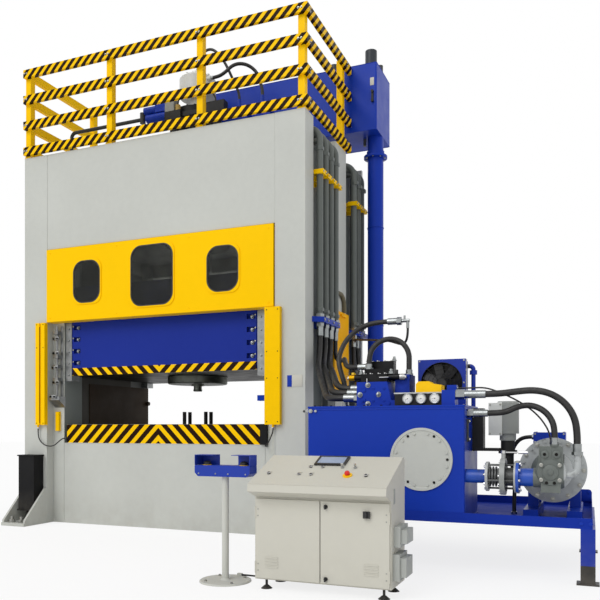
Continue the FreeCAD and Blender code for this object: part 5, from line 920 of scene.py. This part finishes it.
# %% Overflow pipe: bands and flange bolts
pipe_x, pipe_y = 2.274, 0.77
bands = hoops([((pipe_x, pipe_y, z), 0.107) for z in (1.35, 2.6, 3.9)], 0.006, 48, up)
settle("overflow_bands", bands, "machine_blue")
row("overflow_bolts", hexagon_screw(0.010, 0.010), ring((pipe_x, pipe_y, 4.8305), 0.128, 8, down), "steel")

# %% [markdown]
# ## Power unit: the oil tank
# The tank is a folded box with a welded lid line, lid screws and a round manhole. The
# gauge board has three dials: each is a white disc with fine marks and a black needle
# behind its bezel. The marks carry no figures.

# %% Tank seams, lid screws and manhole screws
tank_seams = []
for z in (1.405, 0.462):
    tank_seams += [[(2.545, -2.3515, z), (3.943, -2.3515, z)], [(3.9525, -2.343, z), (3.9525, -1.607, z)]]
settle("tank_seams", beads(tank_seams, 0.0035), "machine_blue")
lid_rows = ((-2.325, 7), (-1.622, 5))
lid = [facing((2.60 + 0.156 * i, y, 1.4365), up) for y, count in lid_rows for i in range(count)]
row("lid_screws", hexagon_screw(0.010, 0.010), lid, "black_steel")
row("manhole_screws", hexagon_screw(0.009, 0.009), ring((3.584, -2.3590, 0.974), 0.226, 6), "black_steel")

# %% Dials
finishes["dial_white"] = moulded("dial_face_white", tone(236, 236, 230), 0.35)
finishes["dial_black"] = moulded("dial_mark_black", tone(24, 24, 24), 0.4)
finishes["bezel_grey"] = metal("bezel_grey", tone(168, 170, 170), 0.3)


def hand(x, y, z, degrees):
    """The place of a mark or needle turned from upright about a dial's middle."""
    return Matrix.Translation((x, y, z)) @ Matrix.Rotation(math.radians(degrees), 4, "Y")


marks = []
for number, (x, z) in enumerate(dials):
    for i in range(11):
        long = 0.008 if i % 5 == 0 else 0.005
        mark = plate((-0.0007, -0.0003, 0.029 - long), (0.0007, 0.0003, 0.033), 0.0002, 1)
        marks.append(stamp(mark, [hand(x, -2.2804, z, 27 * i - 135)]))
    needle = plate((-0.0009, -0.0004, -0.008), (0.0009, 0.0004, 0.026), 0.0003, 1)
    marks.append(stamp(needle, [hand(x, -2.2808, z, 14 * number - 118)]))
    marks.append(stamp(turned_rod(0.004, 0.0018, 0.0004, 18), [facing((x, -2.2802, z))]))
dial_places = [facing((x, -2.2785, z)) for x, z in dials]
row("dial_faces", turned_rod(0.037, 0.0016, 0.0004, 40), dial_places, "dial_white")
settle("dial_bezels", hoops([((x, -2.2800, z), 0.040) for x, z in dials], 0.0042, 44), "bezel_grey")
settle("dial_marks", merge(marks), "dial_black")

# %% Screws of the gauge cover and plugs of the manifold
manifold_face = -2.1495
ports = grid((3.10, 3.20), (manifold_face,), (1.49, 1.60)) + [facing((3.00, manifold_face, 1.60))]
ports.append(facing((3.00, manifold_face - 0.010, 1.49)))
row("manifold_plugs", cap_screw(0.012, 0.007), ports, "machine_blue")
cover_places = grid((3.53, 3.598), (-2.15, -2.05), (1.6525,), up)
row("cover_screws", cap_screw(0.007, 0.005), cover_places, "black_steel")

# %% [markdown]
# ## Valves
# The directional valves carry round coils at their ends, closed by chrome nuts, and a
# square plug for the lead on top. Thin tubes run between the blocks. These are the small
# shapes that make the black group look busy.

# %% Coil nuts, knobs, plugs and cap screws of the valves
valve_y, valve_top, upper_top = (-2.074, -1.959, -1.844), 1.7355, 1.8705
coil_ends = grid((2.8475,), valve_y, (1.706,), left) + grid((3.3715,), valve_y[:1], (1.706,), right)
row("coil_nuts", hexagon_screw(0.016, 0.018), coil_ends, "chrome")
finishes["knob_yellow"] = moulded("knob_yellow", tone(232, 190, 30), 0.35)
knobs = grid((2.885,), valve_y[:2], (1.733,), up)
row("valve_knobs", turned_rod(0.017, 0.022, 0.004), knobs, "knob_yellow")
plugs = [plate((x, y - 0.016, 1.730), (x + 0.030, y + 0.016, 1.772), 0.004)
         for x, y in [(2.912, y) for y in valve_y] + [(3.280, valve_y[0])]]
settle("valve_plugs", merge(plugs), "black_plastic")
tops = [facing((x, y + dy, z), up) for y, z in ((valve_y[0], valve_top), (valve_y[2], upper_top))
        for x in (3.00, 3.06, 3.135, 3.195) for dy in (-0.03, 0.03)]
row("valve_cap_screws", cap_screw(0.008, 0.009), tops, "chrome")

# %% Unions and thin tubes of the valves
unions = grid((2.975, 3.15), (manifold_face,), (1.545,)) + grid((3.05,), (manifold_face,), (1.462, 1.632))
unions += grid((2.958, 3.245), valve_y[:1], (valve_top,), up)
unions += [facing((x, y, upper_top), up) for x, y in ((2.98, -1.90), (3.22, -1.86))]
union_parts = [stamp(hexagon_screw(0.019, 0.024), unions), stamp(turned_rod(0.012, 0.044, 0.003), unions)]
settle("valve_unions", merge(union_parts), "fitting_steel")
tubes = [[(3.04, -2.121, 1.69), (3.04, -2.15, 1.69), (3.04, -2.15, 1.64), (3.04, -2.135, 1.60)],
         [(3.16, -2.121, 1.69), (3.16, -2.155, 1.70), (3.24, -2.155, 1.70), (3.262, -2.06, 1.70)]]
settle("valve_tubes", beads(tubes, 0.005), "chrome")

# %% [markdown]
# ## Cooler
# The fan turns behind a guard of bent wire: rings joined by spokes. The core at its back
# is a stack of thin fins.

# %% Fan guard, fins and screws
fan_x, fan_z = 3.652, 1.657
hoop_sizes = (0.045, 0.085, 0.125, 0.165, 0.190)
guard = hoops([((fan_x, -1.8065, fan_z), radius) for radius in hoop_sizes], 0.0022, 72)
spoke_ends = ((0.04, -1.8075), (0.196, -1.8035))
spokes = [[(fan_x + radius * math.cos(a), y, fan_z + radius * math.sin(a)) for radius, y in spoke_ends]
          for a in (math.pi / 4 + i * math.pi / 2 for i in range(4))]
settle("fan_guard", merge([guard, beads(spokes, 0.0028)]), "black_paint")
fins = [plate((3.450, -1.6005, z), (3.855, -1.5970, z + 0.0035), 0.0008, 1)
        for z in (1.455 + 0.0105 * i for i in range(39))]
settle("cooler_fins", merge(fins), "steel")
cooler_screws = grid((3.447, 3.857), (-1.7995,), (1.452, fan_z, 1.862))
row("cooler_screws", cap_screw(0.008, 0.005), cooler_screws, "steel")

# %% [markdown]
# ## Suction line and pump
# A butterfly valve and a rubber bellows stand between the tank and the pump. Long bolts
# with nuts hold their flanges, and the bell housing is bolted to the motor all round.

# %% Flange nuts
line_y, line_z = -2.24, 0.835
nut_places = ring((4.1165, line_y, line_z), 0.103, 8, left, 0.2)
nut_places += ring((4.3845, line_y, line_z), 0.112, 8, right, 0.2)
row("flange_nuts", hexagon_screw(0.011, 0.014), nut_places, "chrome")
lug_places = ring((4.2335, line_y, line_z), 0.136, 12, left, 0.1)
row("valve_lug_screws", cap_screw(0.008, 0.010), lug_places, "chrome")

# %% Bell housing bolts and pump details
pump_x, pump_z, pump_face = 4.63, 0.884, -2.330
row("bell_bolts", hexagon_screw(0.014, 0.018), ring((pump_x, -1.97, pump_z), 0.247, 12), "steel")
cap_places = grid((pump_x - 0.07, pump_x + 0.07), (pump_face - 0.0115,), (pump_z - 0.06, pump_z + 0.06))
row("pump_caps", cap_screw(0.016, 0.012), cap_places, "steel")
bosses = [stamp(turned_rod(0.062, 0.012, 0.004, 40), [facing((pump_x, pump_face + 0.002, pump_z))]),
          stamp(hexagon_screw(0.026, 0.014), [facing((pump_x, pump_face - 0.004, pump_z))]),
          stamp(turned_rod(0.030, 0.016, 0.004), grid((pump_x - 0.045, pump_x + 0.045), (-2.3175,), (1.03,)))]
rib_x = [4.545 + 0.042 * i for i in range(5)]
bosses += [plate((x, -2.3215, 0.965), (x + 0.008, -2.309, 1.086)) for x in rib_x]
settle("pump_bosses", merge(bosses), "cast_grey")
port_plugs = grid((4.585, 4.675), (-2.333,), (1.03,)) + grid((4.60, 4.66), (pump_face + sunk,), (0.80,))
row("pump_plugs", cap_screw(0.013, 0.007), port_plugs, "black_steel")

# %% Screws of the motor's box, the level gauge, the circulation pump and the tray
box_x = (4.47, 4.71)
box_screws = grid(box_x, (-1.7095,), (1.115, 1.187)) + grid(box_x, (-1.695, -1.485), (1.2015,), up)
row("motor_box_screws", cap_screw(0.008, 0.006), box_screws, "steel")
gauge_ends = grid((3.9745,), (-2.228,), (1.145, 1.30), right)
row("level_gauge_screws", hexagon_screw(0.010, 0.008), gauge_ends, "chrome")
row("pump_box_screws", cap_screw(0.008, 0.005), grid((4.110, 4.197), (-1.9545,), (1.192, 1.447)), "steel")
tray_screws = grid((4.86, 4.93, 2.52, 2.60), (-2.3555,), (0.487,))
row("tray_screws", hexagon_screw(0.013, 0.012), tray_screws, "machine_blue")

# %% The bolted lug at the tray's rear corner
lug_outline = [(4.81, 0.50), (4.942, 0.50), (4.942, 0.592), (4.934, 0.612), (4.914, 0.622), (4.842, 0.622),
               (4.820, 0.612), (4.81, 0.592)]
lug_face = -0.6695
lug = bmesh.new()
pull(lug, [lug.faces.new([lug.verts.new((x, lug_face, z)) for x, z in lug_outline])], 0.0125)
soften(lug, lug.edges[:], 0.0015)
lug_bolt = stamp(hexagon_screw(0.014, 0.010), [facing((4.912, lug_face, 0.592))])
settle("tray_lug", merge([lug, lug_bolt]), "tray_blue")

# %% [markdown]
# ## Console and stand
# The desk slopes towards the operator. Its screen has a dark bezel around a blue-grey
# glass, and every button sits in a ring with a bare label above it. The folds of the desk
# are rounded by thin beads, and small screws hold the hinges and the stand's hoods.

# %% Screen
slope = Vector((0, -0.381, 0.9246))
finishes["screen_glass"] = moulded("screen_glass", tone(150, 164, 190), 0.12)
finishes["bezel_black"] = moulded("bezel_black", tone(28, 28, 30), 0.35)
screen_place = [facing((3.075, -3.186, 0.9935), slope)]
wide, high, border = 0.125, 0.075, 0.018
frame_bars = [plate((-wide, y, -0.002), (wide, y + border, 0.003), 0.0015) for y in (-high, high - border)]
frame_bars += [plate((x, border - high, -0.002), (x + border, high - border, 0.003), 0.0015)
               for x in (-wide, wide - border)]
row("screen_bezel", merge(frame_bars), screen_place, "bezel_black")
glass = plate((border - wide, border - high, -0.001), (wide - border, high - border, 0.0012), 0.0005, 1)
row("screen_glass", glass, screen_place, "screen_glass")

# %% Button rings, caps, labels and keys
buttons = [(2.633, -3.4046, 0.9012), (2.883, -3.4034, 0.8984), (2.981, -3.4034, 0.8984),
           (3.412, -3.4046, 0.9012), (2.932, -3.2834, 0.9479), (3.030, -3.2834, 0.9479)]
settle("button_rings", hoops([(place, 0.0125) for place in buttons], 0.0026, 28, slope), "chrome")
caps = [facing(Vector(place) - slope * 0.001, slope) for place in buttons]
row("button_caps", turned_rod(0.0092, 0.0052, 0.0018, 24), caps, "black_plastic")
key = plate((-0.010, -0.0018, -0.006), (0.010, 0.0018, 0.016), 0.001)
row("key_heads", key, grid((3.190, 3.292), (-3.2895,), (0.9630,), slope), "chrome")


def on_desk(x, y):
    """The place on the sloping desk above or below a point."""
    return facing((x, y, 0.9012 + 0.4124 * (y + 3.373)), slope)


legend = plate((-0.016, -0.005, -0.0012), (0.016, 0.005, 0.0006), 0.0003, 1)
row("bare_legends", legend, [on_desk(x, y + 0.0315) for x, y, z in buttons], "steel")

# %% Hinge screws and desk folds
for side, x in (("left", 2.562), ("right", 3.578)):
    hinge_z = [z + dz for z in (0.175, 0.595) for dz in (-0.025, 0.025)]
    row("hinge_screws_" + side, cap_screw(0.005, 0.003), grid((x,), (-3.4460,), hinge_z), "steel",
        body="door_" + side)
desk_folds = [[(2.534, y, z), (3.606, y, z)] for y, z in ((-3.5663, 0.8235), (-3.5655, 0.7655))]
settle("desk_fold_beads", beads(desk_folds, 0.0018), "console_cream")

# %% Stand: base screws, button collars and hood screws
stand_y = -3.275
base_screws = ring((2.187, stand_y, 0.0135), 0.165, 4, up, math.pi / 4)
row("stand_base_screws", hexagon_screw(0.010, 0.012), base_screws, "steel")
collars = hoops([((x, stand_y, 0.9405), 0.0355) for x in (2.019, 2.354)], 0.0024, 40, up)
settle("palm_collars", collars, "safety_yellow")
row("hood_screws", cap_screw(0.006, 0.004), grid((1.975, 2.13, 2.244, 2.40), (-3.3395,), (0.873,)), "steel")

# %% [markdown]
# ## Close

# %% Update the view layer
bpy.context.view_layer.update()
